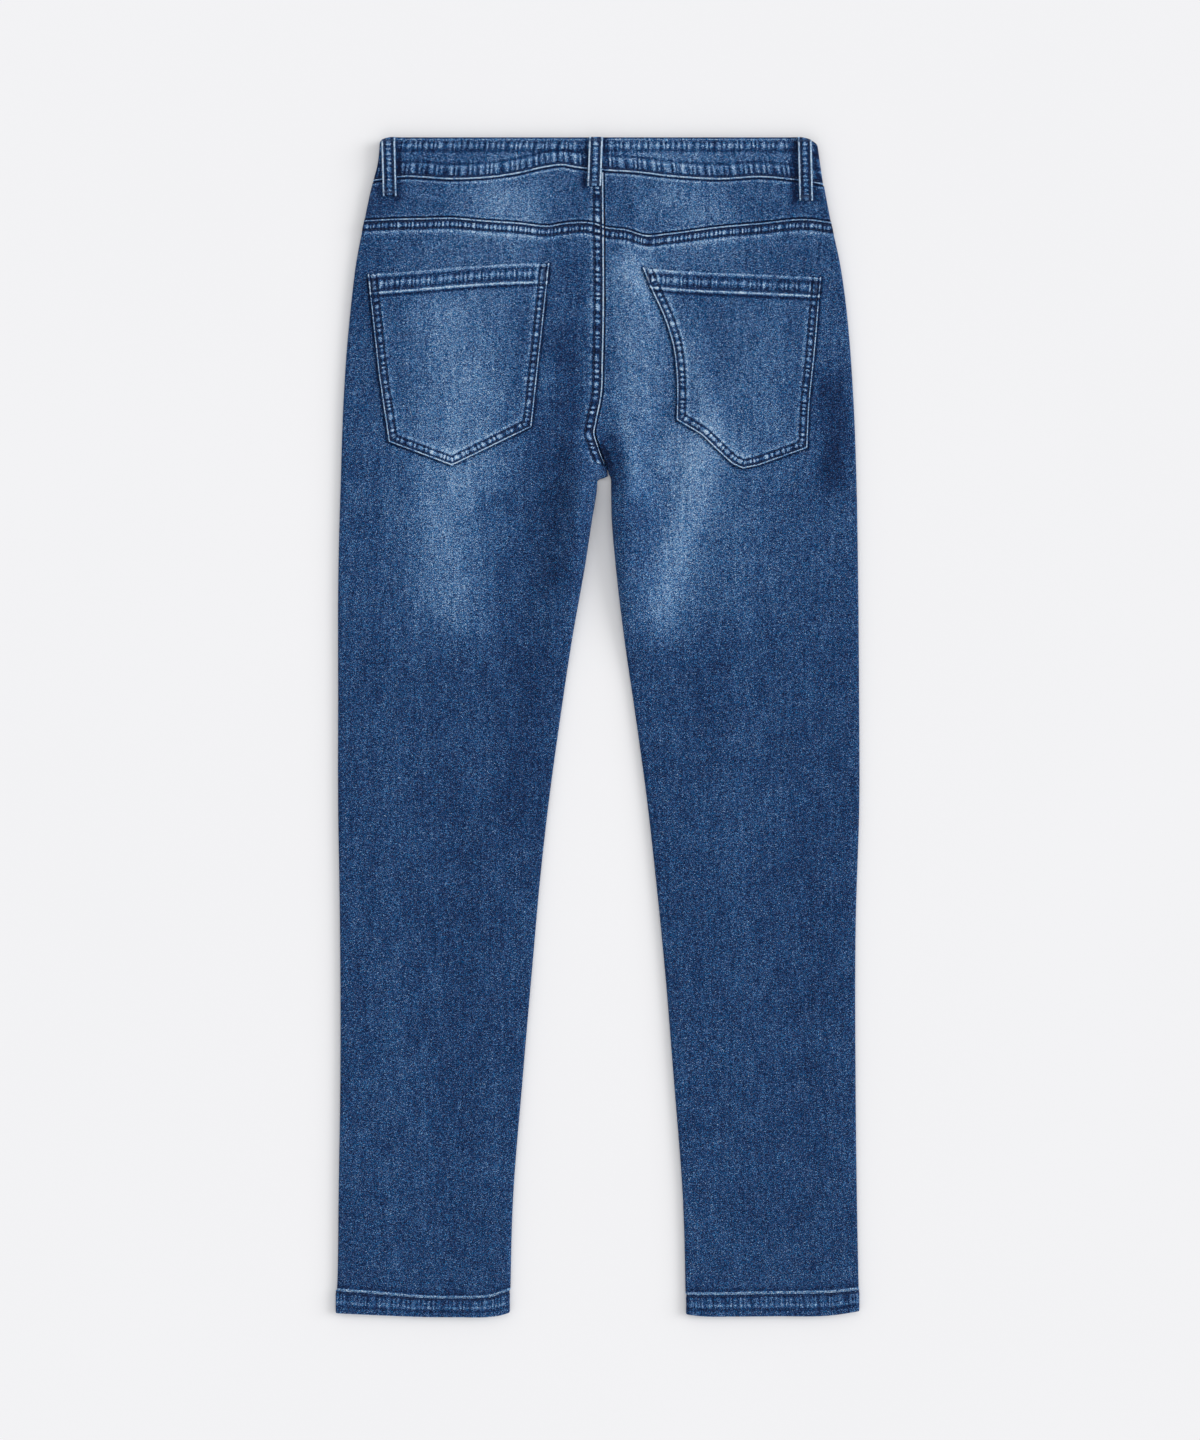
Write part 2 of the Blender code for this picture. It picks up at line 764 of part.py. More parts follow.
def make_loops():
    base = BAND_BACK_HEIGHT + BAND_WALL / 2 + SEAM_GAP
    rounded = LOOP_WALL * np.array([0.8, 1, 1, 0.8])
    for name, top_x, foot_x, foot, rise in (
        ("loop_back_left", -187.2, -187.6, 53.0, 0.0),
        ("loop_back", -1.3, -3.0, 44.0, 0.6),
        ("loop_back_right", 186.8, 187.4, 57.0, 0.0),
    ):
        heights = table("part z", (0, base), (0.4, base + LOOP_BOW), (0.7, base + 0.2 + rise), (1, base + rise))
        make_loop(name, ((top_x, 0), (foot_x, foot)), heights, rounded)
    top = BAND_FRONT_DIP * (1 - eased(0, 200, FRONT_LOOP_OUT))
    flat = table("part z", (0, 0), (1, 0))
    pressed = np.full(4, FRONT_LOOP_WALL)
    for side in (-1, 1):
        x = side * FRONT_LOOP_OUT
        foot = float(band_front_line(x)) + FRONT_LOOP_PAST_BAND
        make_loop(f"loop_front_{edge_name(side)}", ((x, top), (x, foot)), flat, pressed)


def make_hem(side, back_end, front_end):
    """The turned and stitched leg end: one thick band round the leg, made from the ends of the panels above it."""
    low, high = HEM_WALL / 2, HEM_TOP - HEM_WALL / 2
    path = np.concatenate([back_end, front_end[:-1]])
    out, down = side * path[:, 0], path[:, 1]
    height = np.where(np.arange(len(path)) < len(back_end), high, low)
    outer_fold = turn(outline(side, LENGTH) - HEM_WALL / 2, low, high, 1, -90, 90)
    inner_fold = turn(inseam(side, LENGTH) + HEM_WALL / 2, low, high, -1, 90, -90)
    outer_turn = slice(1, FOLD_TURNS + 2)
    inner_turn = slice(len(back_end) - FOLD_TURNS - 3, len(back_end) - 2)
    out[outer_turn], height[outer_turn] = outer_fold.T
    out[inner_turn], height[inner_turn] = inner_fold.T
    height[[0, len(back_end) - 2, len(back_end) - 1]] = low
    middle = np.stack([out, height], axis=1)
    run = np.roll(middle, -1, axis=0) - np.roll(middle, 1, axis=0)
    run /= np.linalg.norm(run, axis=1, keepdims=True)
    normal = np.stack([run[:, 1], -run[:, 0]], axis=1)
    faces = []
    for face in (middle + normal * HEM_WALL / 2, middle - normal * HEM_WALL / 2):
        x = side * face[:, 0]
        rows = []
        for part in (0, 0.5, 1):
            row_down = mix(down + SEAM_GAP, line(LEG_END_LINE)(x), part)
            rows.append(np.stack([x, row_down, face[:, 1]], axis=1))
        faces.append(np.array(rows))
    wall(f"hem_{edge_name(side)}", *faces, denim(f"hem denim {edge_name(side)}"), closed=True)


def make_zip():
    """The closed zip behind the fly, between the two layers."""
    rows = []
    for down in np.linspace(ZIP_TOP, ZIP_FOOT, 7):
        x = centre_front(down) + ZIP_HALF_WIDTH * np.array([-1, -0.2, 0.2, 1])
        rows.append(np.stack([x, 0 * x + down, ground(x, down) + WALL + SEAM_GAP], axis=1))
    underside = np.array(rows)
    face = underside + (0, 0, ZIP_WALL)
    wall("fly_zip", face, underside, material("brass zip", (0.45, 0.3, 0.12), 0.4, 1.0))


def make_button():
    """The button at centre front, its face on the ground."""
    mesh = bpy.data.meshes.new("waist_button")
    shape = bmesh.new()
    radius, height = BUTTON_RADIUS * MM, BUTTON_HEIGHT * MM
    bmesh.ops.create_cone(shape, cap_ends=True, segments=32, radius1=radius, radius2=radius, depth=height)
    bmesh.ops.translate(shape, verts=shape.verts, vec=(0, 0, height / 2))
    shape.to_mesh(mesh)
    shape.free()
    button = add_object("waist_button", mesh, material("antique brass button", (0.35, 0.24, 0.12), 0.4, 1.0))
    down = BAND_FRONT_DIP + BAND_DEPTH / 2
    button.location = (BUTTON_X * MM, (LENGTH / 2 - down) * MM, 0)


for old in list(bpy.data.objects):
    bpy.data.objects.remove(old, do_unlink=True)
JEANS = bpy.data.collections.new("skinny_jeans")
bpy.context.scene.collection.children.link(JEANS)

yoke_faces = {}
for half in (-1, 1):
    yoke_faces[half] = make_yoke(half)
    make_hem(half, make_back(half), make_front(half))
make_waistband(yoke_faces)
make_loops()
make_zip()
make_button()
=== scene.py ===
# %% [markdown]
# # Skinny jeans, laid flat on their front
#
# The solids of this pair of jeans give the true shape and the true size. This lesson dresses them in
# cloth: each panel gets a fine shell on its solid's form, with creases, sewn seams, stitches and a washed
# denim finish. We look straight down on the back of the jeans, as the camera does.

import math

import bpy
import numpy as np
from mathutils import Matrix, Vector
from mathutils.bvhtree import BVHTree


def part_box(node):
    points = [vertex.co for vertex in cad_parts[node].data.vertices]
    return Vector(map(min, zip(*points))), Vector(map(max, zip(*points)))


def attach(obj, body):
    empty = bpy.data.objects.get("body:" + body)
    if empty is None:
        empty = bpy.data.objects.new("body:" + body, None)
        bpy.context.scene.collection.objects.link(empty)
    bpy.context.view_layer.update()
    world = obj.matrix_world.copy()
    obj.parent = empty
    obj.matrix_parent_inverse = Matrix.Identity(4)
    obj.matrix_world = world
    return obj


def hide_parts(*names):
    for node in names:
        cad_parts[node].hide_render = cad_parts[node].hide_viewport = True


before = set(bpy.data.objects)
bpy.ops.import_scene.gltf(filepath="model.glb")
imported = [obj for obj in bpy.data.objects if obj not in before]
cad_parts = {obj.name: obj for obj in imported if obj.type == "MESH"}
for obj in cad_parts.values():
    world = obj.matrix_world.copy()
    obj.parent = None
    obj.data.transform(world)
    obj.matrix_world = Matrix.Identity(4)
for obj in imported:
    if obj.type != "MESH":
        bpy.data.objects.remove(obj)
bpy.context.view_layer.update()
MM = 0.001
LENGTH = 1062.9

# %% [markdown]
# ## The camera, the floor and the light
#
# The garment lay on a pale sheet, and the camera hung straight over it, so a long lens high above the
# middle gives the same flat view. One pixel of the photograph is 0.9 mm at the height of the uppermost
# cloth. A soft light stands low on the right, because the only shadow is a soft one along the left side
# of each leg. It is a sun with a wide disc, so that it is as strong on one leg as on the other, and a
# pale room fills the rest.

# %% Camera, floor and light
PHOTO_WIDTH, PHOTO_HEIGHT = 1200, 1440
MM_PER_PIXEL = 0.9
MIDDLE_COLUMN = 597.5
WAIST_ROW = 137
SENSOR_MM = 36.0
CAMERA_HEIGHT = 3000.0
CLOTH_HEIGHT = 9.0  # the uppermost cloth lies here, and here the photograph's scale holds
FLOOR_METRES = 12
FLOOR_DROP = 0.4
KEY_STRENGTH = 1.7
KEY_DISC_DEGREES = 32
KEY_DIRECTION = (0.86, 0.16, 0.4)
ROOM_STRENGTH = 0.8


def place(x, down, z=0.0):
    """A place in metres, from millimetres across, down from the waistband's top edge, and up."""
    return Vector((x, LENGTH / 2 - down, z)) * MM


view_x = (PHOTO_WIDTH / 2 - MIDDLE_COLUMN) * MM_PER_PIXEL
view_down = (PHOTO_HEIGHT / 2 - WAIST_ROW) * MM_PER_PIXEL
camera_data = bpy.data.cameras.new("camera")
camera_data.sensor_width = SENSOR_MM
camera_data.lens = SENSOR_MM * (CAMERA_HEIGHT - CLOTH_HEIGHT) / (PHOTO_HEIGHT * MM_PER_PIXEL)
camera = bpy.data.objects.new("camera", camera_data)
bpy.context.scene.collection.objects.link(camera)
camera.location = place(view_x, view_down, CAMERA_HEIGHT)
bpy.context.scene.camera = camera

bpy.ops.mesh.primitive_plane_add(size=FLOOR_METRES, location=(0, 0, -FLOOR_DROP * MM))
floor = bpy.context.object
floor.name = "floor"
sun = bpy.data.lights.new("key", "SUN")
sun.energy = KEY_STRENGTH
sun.angle = math.radians(KEY_DISC_DEGREES)
key = bpy.data.objects.new("key", sun)
bpy.context.scene.collection.objects.link(key)
key.rotation_euler = Vector(KEY_DIRECTION).to_track_quat("Z", "Y").to_euler()
world = bpy.data.worlds.new("pale room")
world.use_nodes = True
background = world.node_tree.nodes["Background"]
background.inputs["Color"].default_value = (1, 1, 1, 1)
background.inputs["Strength"].default_value = ROOM_STRENGTH
bpy.context.scene.world = world
bpy.context.scene.view_settings.view_transform = "Standard"
print(f"camera {CAMERA_HEIGHT * MM:.1f} m up, lens {camera_data.lens:.0f} mm")

# %% [markdown]
# ## Short tables and smooth curves
#
# A pattern cutter writes a garment down as a few measured places and draws a smooth line through them.
# The tables in this lesson do the same, and reading them along a smooth curve keeps the outline free of
# corners.

# %% Tables and how they are read
def table(columns, *rows):
    """A short table, read by the names of its columns."""
    return dict(zip(columns.split(), np.array(rows, float).T))


def mix(low, high, part):
    return low + (high - low) * part


def eased(low, high, value):
    """0 below low, 1 above high, and a soft step between."""
    part = np.clip((value - low) / (high - low), 0, 1)
    return part * part * (3 - 2 * part)


def bump(value, middle, width):
    """1 at the middle, falling away softly to both sides."""
    return np.exp(-(((value - middle) / width) ** 2))


def smooth(rows, key, column, where):
    """Reads a column along a smooth curve through its rows."""
    keys, values = rows[key], rows[column]
    where = np.clip(where, keys[0], keys[-1])
    slopes = np.gradient(values, keys)
    low = np.clip(np.searchsorted(keys, where) - 1, 0, len(keys) - 2)
    span = keys[low + 1] - keys[low]
    part = (where - keys[low]) / span
    rest = 1 - part
    ends = values[low] * (1 + 2 * part) * rest**2 + values[low + 1] * (3 - 2 * part) * part**2
    return ends + span * part * rest * (slopes[low] * rest - slopes[low + 1] * part)


def line(rows, shift=0.0):
    return lambda x: smooth(rows, "x", "down", x) + shift


def level(down):
    return lambda x: down + 0 * x


def between(first, second, part):
    return lambda x: mix(first(x), second(x), part)


print("a quarter of the way along, a soft step has risen to", float(eased(0, 1, 0.25)))

# %% [markdown]
# ## Outline and seam lines
#
# All lengths are in millimetres. x runs across from the garment's middle, and down runs from the
# waistband's top edge. The places are the ones that the solids were built from, so each shell lies on its
# solid. Only the waistband's upper sides and corners and the left yoke seam are drawn closer to the
# photograph here, and so lie up to 5 mm from the solids.

# %% Outline and seam lines
WALL = 1.2
SEAM_GAP = 0.3
OUTLINE = table(
    "down left right",
    (0, 196.0, 198.0),
    (10, 196.6, 199.2),
    (24, 198.2, 201.2),
    (42, 203.0, 204.0),
    (75, 210.2, 210.2),
    (111, 217.4, 218.3),
    (147, 221.9, 223.7),
    (183, 225.5, 227.3),
    (237, 229.1, 230.9),
    (309, 231.6, 233.6),
    (381, 233.6, 234.9),
    (507, 234.0, 236.0),
    (597, 234.0, 236.2),
    (705, 232.4, 233.0),
    (849, 232.0, 232.8),
    (957, 233.6, 234.0),
    (1029, 234.6, 235.4),
    (1063, 236.2, 236.2),
)
INSEAM = table(
    "down left right",
    (290, -0.2, 12.0),
    (316, 0.5, 12.2),
    (345, 5.0, 12.8),
    (381, 10.4, 15.8),
    (453, 23.0, 24.2),
    (525, 33.8, 34.7),
    (597, 43.7, 44.6),
    (669, 51.8, 52.7),
    (741, 58.2, 59.9),
    (849, 67.5, 68.8),
    (957, 76.1, 77.0),
    (1063, 79.0, 79.8),
)
SEAT_SEAM = table(
    "down x",
    (28, 5.9),
    (200, 5.6),
    (234, 4.2),
    (256, -0.5),
    (266, -2.2),
    (279, 1.4),
    (298, 9.4),
)
BAND_LINE = table(
    "x down",
    (-203, 40.5),
    (-179, 36.9),
    (-129, 38.7),
    (-95, 36.9),
    (-71, 33.3),
    (-47, 27.9),
    (-31, 26.1),
    (-21, 27.9),
    (4, 30.6),
    (33, 32.4),
    (64, 36.0),
    (113, 38.7),
    (145, 36.9),
    (179, 39.6),
    (205, 43.7),
)
BAND_CORNERS = table(
    "x down",
    (-197, 5.5),
    (-194, 2.6),
    (-190, 0.9),
    (-184, 0.0),
    (-174, 0.0),
    (172, 0.0),
    (181, 0.0),
    (187, 0.9),
    (192, 2.6),
    (196, 5.2),
    (199, 9.0),
)
YOKE_LINE = table(
    "x down",
    (-209, 73.8),
    (-183, 72.5),
    (-157, 72.0),
    (-132, 71.5),
    (-103, 73.8),
    (-71, 76.0),
    (-42, 78.4),
    (-31, 76.5),
    (-5, 76.0),
    (9, 80.1),
    (25, 81.9),
    (44, 87.3),
    (64, 85.5),
    (113, 79.2),
    (145, 76.5),
    (190, 72.9),
    (211, 75.6),
)
HEM_LINE = table(
    "x down",
    (-236, 1038.6),
    (-196, 1041.6),
    (-155, 1045.0),
    (-125, 1045.4),
    (-108, 1045.2),
    (-95, 1043.8),
    (-85, 1040.2),
    (79, 1042.2),
    (105, 1042.2),
    (158, 1041.3),
    (213, 1040.0),
    (236, 1037.7),
)
LEG_END_LINE = table(
    "x down",
    (-236, 1059.3),
    (-196, 1061.2),
    (-155, 1062.7),
    (-125, 1062.9),
    (-98, 1062.7),
    (-88, 1061.4),
    (-78, 1058.4),
    (79, 1060.2),
    (92, 1061.9),
    (125, 1062.3),
    (158, 1062.0),
    (213, 1061.0),
    (236, 1057.5),
)


def edge_name(side):
    return "left" if side < 0 else "right"


def outline(side, down):
    return smooth(OUTLINE, "down", edge_name(side), down)


def inseam(side, down):
    return smooth(INSEAM, "down", edge_name(side), down)


def seat_seam(down):
    return smooth(SEAT_SEAM, "down", "x", down)


KNEE_DOWN = 600
knee_width = float(outline(-1, KNEE_DOWN) - inseam(-1, KNEE_DOWN))
print(f"the left leg is {knee_width:.1f} mm wide at the knee")

# %% [markdown]
# ## How high the cloth lies
#
# The front panels lie on the sheet and the back panels lie on them, so most of the garment is only 5 to 8
# mm high. Only the thighs stand fuller, beside the gap between the legs. What the eye sees are its
# creases: soft ridges and troughs that run from where the cloth is pulled. Each one is a row of a table:
# a short curve with a height and a width. No two have the same length, depth or spacing. Ridges are the
# places that wash out pale, so the same curves help to colour the cloth later.

# %% Heights and creases
CROTCH_X = 5.8
CROTCH_DOWN = 298.0
# Where the inner edge leaves the seat seam, where it has dropped, and where it has curled round the leg.
TOE_END, DROP_END, CURL_END = 301.0, 308.0, 330.0
THIGH_LIFT = 3.0
THIGH_FULLNESS = 1.0
THIGH_OUT, THIGH_WIDTH, THIGH_LENGTH = 24, 13, 38
ROUND_HEIGHT, ROUND_OUT, ROUND_WIDTH = 11.0, 9, 26
ROUND_STARTS, ROUND_FULL, ROUND_FADES, ROUND_ENDS = 296, 322, 370, 500
GROOVE_FLOOR = 3.3
GROOVE_NEAR, GROOVE_FAR = 2.5, 10
GROOVE_STARTS, GROOVE_FULL = 245, 292
BAND_UNDERSIDE = 2.3
WAIST_LIFTED, WAIST_LIES = 70, 110  # the cloth is lifted down to the first, and lies from the second on

CROWN = table(
    "down height",
    (25, 7.4),
    (60, 7.4),
    (80, 6.8),
    (120, 6.1),
    (180, 5.6),
    (260, 5.4),
    (320, 5.2),
    (400, 5.0),
    (1063, 5.0),
)
CREASES = table(
    "x1 down1 bend_x bend_down x2 down2 height width",
    (-165, 330, -140, 380, -120, 430, 1.2, 28),
    (92, 286, 76, 350, 56, 420, 1.6, 16),
    (84, 170, 98, 210, 104, 262, 1.2, 13),
    (26, 110, 34, 180, 36, 245, 0.9, 13),
    (-26, 120, -22, 180, -22, 230, -0.8, 13),
    (46, 122, 62, 150, 70, 205, -0.9, 8),
    (72, 225, 56, 262, 42, 288, -1.0, 10),
    (-95, 54, -72, 47, -50, 52, 0.8, 12),
    (58, 58, 78, 50, 96, 52, 0.7, 11),
    (-48, 262, -66, 300, -88, 330, -0.8, 13),
    (140, 330, 136, 380, 128, 430, 0.9, 20),
    (-60, 360, -62, 420, -70, 470, -0.7, 18),
    (-190, 560, -186, 720, -184, 900, 0.6, 17),
    (-122, 620, -130, 800, -126, 1000, -0.6, 18),
    (122, 520, 120, 640, 132, 760, 0.7, 18),
    (190, 600, 192, 800, 184, 980, -0.6, 18),
    (12, 108, 24, 116, 38, 138, 0.7, 4.5),
    (13, 122, 28, 134, 44, 160, 0.6, 5.0),
    (12, 140, 22, 150, 32, 176, 0.5, 5.0),
    (12, 236, 30, 262, 60, 300, 0.9, 7.0),
    (14, 262, 30, 290, 48, 330, 0.8, 6.0),
    (-6, 252, -28, 276, -58, 290, 0.7, 7.0),
    (-8, 272, -32, 300, -64, 318, 0.7, 6.0),
    (-4, 300, -22, 330, -34, 372, 0.6, 7.0),
    (-196, 92, -180, 100, -150, 102, 0.5, 6.0),
    (196, 92, 176, 98, 140, 96, 0.5, 6.0),
    (-60, 330, -110, 352, -170, 344, 0.5, 9.0),
    (60, 372, 110, 392, 170, 380, 0.5, 10.0),
    (-54, 540, -110, 552, -180, 538, 0.5, 12.0),
    (70, 590, 120, 604, 190, 596, 0.5, 12.0),
    (-84, 700, -130, 712, -210, 700, -0.4, 13.0),
    (84, 820, 140, 812, 214, 826, 0.4, 14.0),
    (-96, 930, -150, 940, -214, 928, 0.4, 12.0),
)
CURVE_STEPS = 8


def soft_curves(rows, x, down):
    """The sum of soft ridges along curves. Each has its row's height and falls away to both sides."""
    total = 0.0 * (x + down)
    part = np.linspace(0, 1, CURVE_STEPS)
    for x1, down1, bend_x, bend_down, x2, down2, height, width in zip(*rows.values()):
        curve_x = mix(mix(x1, bend_x, part), mix(bend_x, x2, part), part)
        curve_down = mix(mix(down1, bend_down, part), mix(bend_down, down2, part), part)
        away = np.full(np.shape(total), 1e9)
        for start_x, start_down, end_x, end_down in zip(curve_x, curve_down, curve_x[1:], curve_down[1:]):
            run_x, run_down = end_x - start_x, end_down - start_down
            off_x, off_down = x - start_x, down - start_down
            along = np.clip((off_x * run_x + off_down * run_down) / (run_x**2 + run_down**2), 0, 1)
            away = np.minimum(away, np.hypot(off_x - along * run_x, off_down - along * run_down))
        total = total + height * np.exp(-((away / width) ** 2))
    return total


def thigh_bulge(x, down):
    """1 on the two thighs beside the crotch, falling away to 0 all round."""
    return bump(np.abs(x - CROTCH_X), THIGH_OUT, THIGH_WIDTH) * bump(down, CROTCH_DOWN, THIGH_LENGTH)


def thigh_round(x, down):
    """Beside the gap between the legs the thighs stay round, and their panels meet at an angle."""
    out = np.where(x < CROTCH_X, -x - inseam(-1, down), x - inseam(1, down))
    height = ROUND_HEIGHT * bump(np.maximum(out, 0), ROUND_OUT, ROUND_WIDTH)
    return height * eased(ROUND_STARTS, ROUND_FULL, down) * (1 - eased(ROUND_FADES, ROUND_ENDS, down))


def ground(x, down):
    """Height of the lower layer's underside. The front loops and the button lift the waist a little."""
    lifted = BAND_UNDERSIDE * (1 - eased(WAIST_LIFTED, WAIST_LIES, down))
    return lifted + THIGH_LIFT * thigh_bulge(x, down)


def crown(x, down):
    """Height of the upper layer's top face."""
    height = smooth(CROWN, "down", "height", down) + soft_curves(CREASES, x, down)
    height = height + (THIGH_LIFT + THIGH_FULLNESS) * thigh_bulge(x, down) + thigh_round(x, down)
    across = 1 - eased(GROOVE_NEAR, GROOVE_FAR, np.abs(x - CROTCH_X))
    return mix(height, GROOVE_FLOOR, across * eased(GROOVE_STARTS, GROOVE_FULL, down))


print("highest crease", round(float(max(CREASES["height"])), 1), "mm")

# %% [markdown]
# ## One panel, folded round the leg
#
# A back panel is wider than the leg looks. It turns under at the outer edge and, below the crotch, at the
# inner edge too, and meets the front panel there. One row of it is therefore a path: a short lip
# underneath, half a turn round the edge, the way across the top, and the same again on the inside. Many
# such rows make a grid, and a second grid just inside it gives the cloth its thickness.

# %% Paths across a panel
LIP = 12.0
LIP_GAP = 0.5
TURNS = 8
ACROSS = 84
SEAT_STEPS = np.linspace(13, 0, TURNS + 3)  # places beside the seat seam, one for each of a curled edge
EDGE_IN = 2  # a fold takes its heights from this far in
DROP_FLOOR = 0.9
OUTER_GUESS, INNER_GUESS, INNER_IN = 220.0, 10.0, 5.0  # where a row is read first, to find its ends


def turn(out, low, high, towards, first, last):
    """Points round a folded edge of the cloth's middle line, from angle first to last (90 is the top)."""
    radius = (high - low) / 2
    angles = np.radians(np.linspace(first, last, TURNS + 1))
    height = (low + high) / 2 + radius * np.sin(angles)
    return np.stack([out - towards * radius * (1 - np.cos(angles)), height], axis=1)


def edge_heights(side, out, down):
    return ground(side * out, down) + WALL / 2, crown(side * out, down) - WALL / 2


def outer_edge(side, down):
    """From the end of the lip underneath, round the outer edge, to the top. Columns: out, z."""
    out = outline(side, down) - WALL / 2
    fold = turn(out, *edge_heights(side, out - EDGE_IN, down), 1, -90, 90)
    lip_out = fold[0, 0] - LIP
    return np.concatenate([[[lip_out, ground(side * lip_out, down) + WALL / 2]], fold])


def inner_edge(side, down):
    """Flat up to the seat seam, dropping at the crotch, and curled round the leg below it."""
    above = min(down, TOE_END)
    seat_out = side * seat_seam(above) + SEAM_GAP / 2 + SEAT_STEPS
    flat = np.stack([seat_out, crown(side * seat_out, above) - WALL / 2], axis=1)
    out = inseam(side, down) + WALL / 2
    curl = turn(out, *edge_heights(side, out + EDGE_IN, down), -1, 90, -90)
    lip_out = curl[-1, 0] + np.array([LIP / 2, LIP])
    lip = np.stack([lip_out, ground(side * lip_out, down) + WALL / 2], axis=1)
    half = TURNS // 2 + 1
    steps = len(flat) - half
    foot_heights = np.linspace(curl[half - 1, 1], DROP_FLOOR, steps + 1)[1:]
    foot = np.stack([np.full(steps, out), foot_heights], axis=1)
    edge = mix(flat, np.concatenate([curl[:half], foot]), eased(TOE_END, DROP_END, down))
    return mix(edge, np.concatenate([curl, lip]), eased(DROP_END, CURL_END, down))


def outer_down(side, row_line):
    """How far down a row meets the outer edge."""
    return float(row_line(side * outline(side, row_line(side * OUTER_GUESS))))


def inner_down(side, row_line):
    """How far down a row meets the seat seam or the leg's inner edge."""
    return float(row_line(side * inseam(side, row_line(side * INNER_GUESS)) + side * INNER_IN))


def upper_row(side, row_line, under_line):
    """The middle line of the upper layer along one row, as x, down, z."""
    outer = outer_edge(side, outer_down(side, row_line))
    inner = inner_edge(side, inner_down(side, row_line))
    out = np.linspace(outer[-1, 0], inner[0, 0], ACROSS + 2)[1:-1]
    across = np.stack([out, crown(side * out, row_line(side * out)) - WALL / 2], axis=1)
    path = np.concatenate([outer, across, inner])
    over = np.concatenate([[0], np.linspace(0, 1, TURNS + 1), np.ones(len(path) - TURNS - 2)])
    x = side * path[:, 0]
    return np.stack([x, mix(under_line(x), row_line(x), over), path[:, 1]], axis=1)


def faces_of(middle, side, thickness, raised=0.0):
    """The outer and inner face of cloth whose middle line is given by rows."""
    run = np.gradient(middle[:, :, [0, 2]] * np.array([side, 1]), axis=1)
    run /= np.linalg.norm(run, axis=2, keepdims=True) + 1e-9
    normal = np.stack([side * run[:, :, 1], 0 * run[:, :, 0], -run[:, :, 0]], axis=2)
    normal[middle[:, -1, 1] <= TOE_END, -1] = (0, 0, 1)
    reach = thickness / 2 + np.broadcast_to(raised, middle.shape[:2])
    return middle + normal * reach[:, :, None], middle - normal * thickness / 2


print("a row has", len(upper_row(-1, level(400), level(400))), "points")

# %% [markdown]
# ## Building a shell from two grids
#
# The outer and the inner grid become one closed mesh: faces on both grids and a strip round the rim. Each
# point also stores values for the finish. `fade` says how pale the cloth is washed there, with
# painted shade and highlight added. For each seam near the piece, `across` runs from 0 at its folded edge
# to 1 just past its second row of stitches, and `along` is the distance along it in millimetres. A
# material can read them on any part of the cloth, however it is turned.

# %% Meshes from grids
BEFORE_SEAM, PAST_SEAM = -0.25, 1.5
ROUNDED_DEGREES = 50  # shading is rounded across any edge that turns less than this


def in_metres(points):
    x, down, z = np.moveaxis(points, -1, 0)
    return np.stack([x, LENGTH / 2 - down, z], axis=-1) * MM


def make_shell(name, outer, inner, finish, fade, seams, ring=False):
    """A closed shell between two grids. seams gives each nearby seam's name its across and along."""
    rows, columns = outer.shape[:2]
    points = in_metres(np.concatenate([outer.reshape(-1, 3), inner.reshape(-1, 3)]))
    outside, inside = np.arange(2 * rows * columns).reshape(2, rows, columns)
    if ring:
        outside = np.concatenate([outside, outside[:, :1]], axis=1)
        inside = np.concatenate([inside, inside[:, :1]], axis=1)
    bands = [(outside[:-1], outside[1:]), (inside[1:], inside[:-1])]
    bands += [(inside[[0]], outside[[0]]), (outside[[-1]], inside[[-1]])]
    if not ring:
        bands += [(outside[:, [0]].T, inside[:, [0]].T), (inside[:, [-1]].T, outside[:, [-1]].T)]
    faces = []
    for first, second in bands:
        corners = first[:, :-1], first[:, 1:], second[:, 1:], second[:, :-1]
        faces.append(np.stack([corner.reshape(-1) for corner in corners], axis=1))
    mesh = bpy.data.meshes.new(name)
    mesh.from_pydata(points.tolist(), [], np.concatenate(faces).tolist())
    stored = {"fade": fade}
    for seam, (across, along) in seams.items():
        stored[f"{seam}_across"] = np.clip(across, BEFORE_SEAM, PAST_SEAM)
        stored[f"{seam}_along"] = along
    for label, values in stored.items():
        attribute = mesh.attributes.new(label, "FLOAT", "POINT")
        whole = np.broadcast_to(values, (rows, columns)).reshape(-1)
        attribute.data.foreach_set("value", np.concatenate([whole, whole]).astype(np.float32))
    piece = bpy.data.objects.new(name, mesh)
    bpy.context.scene.collection.objects.link(piece)
    turn_outwards(piece)
    mesh.materials.append(finish)
    print(name, len(mesh.polygons), "faces")
    return piece


def turn_outwards(piece):
    """Makes all faces point out, and rounds the shading everywhere but at the cut edges."""
    bpy.ops.object.select_all(action="DESELECT")
    bpy.context.view_layer.objects.active = piece
    piece.select_set(True)
    bpy.ops.object.mode_set(mode="EDIT")
    bpy.ops.mesh.select_all(action="SELECT")
    bpy.ops.mesh.normals_make_consistent(inside=False)
    bpy.ops.object.mode_set(mode="OBJECT")
    bpy.ops.object.shade_smooth_by_angle(angle=math.radians(ROUNDED_DEGREES))
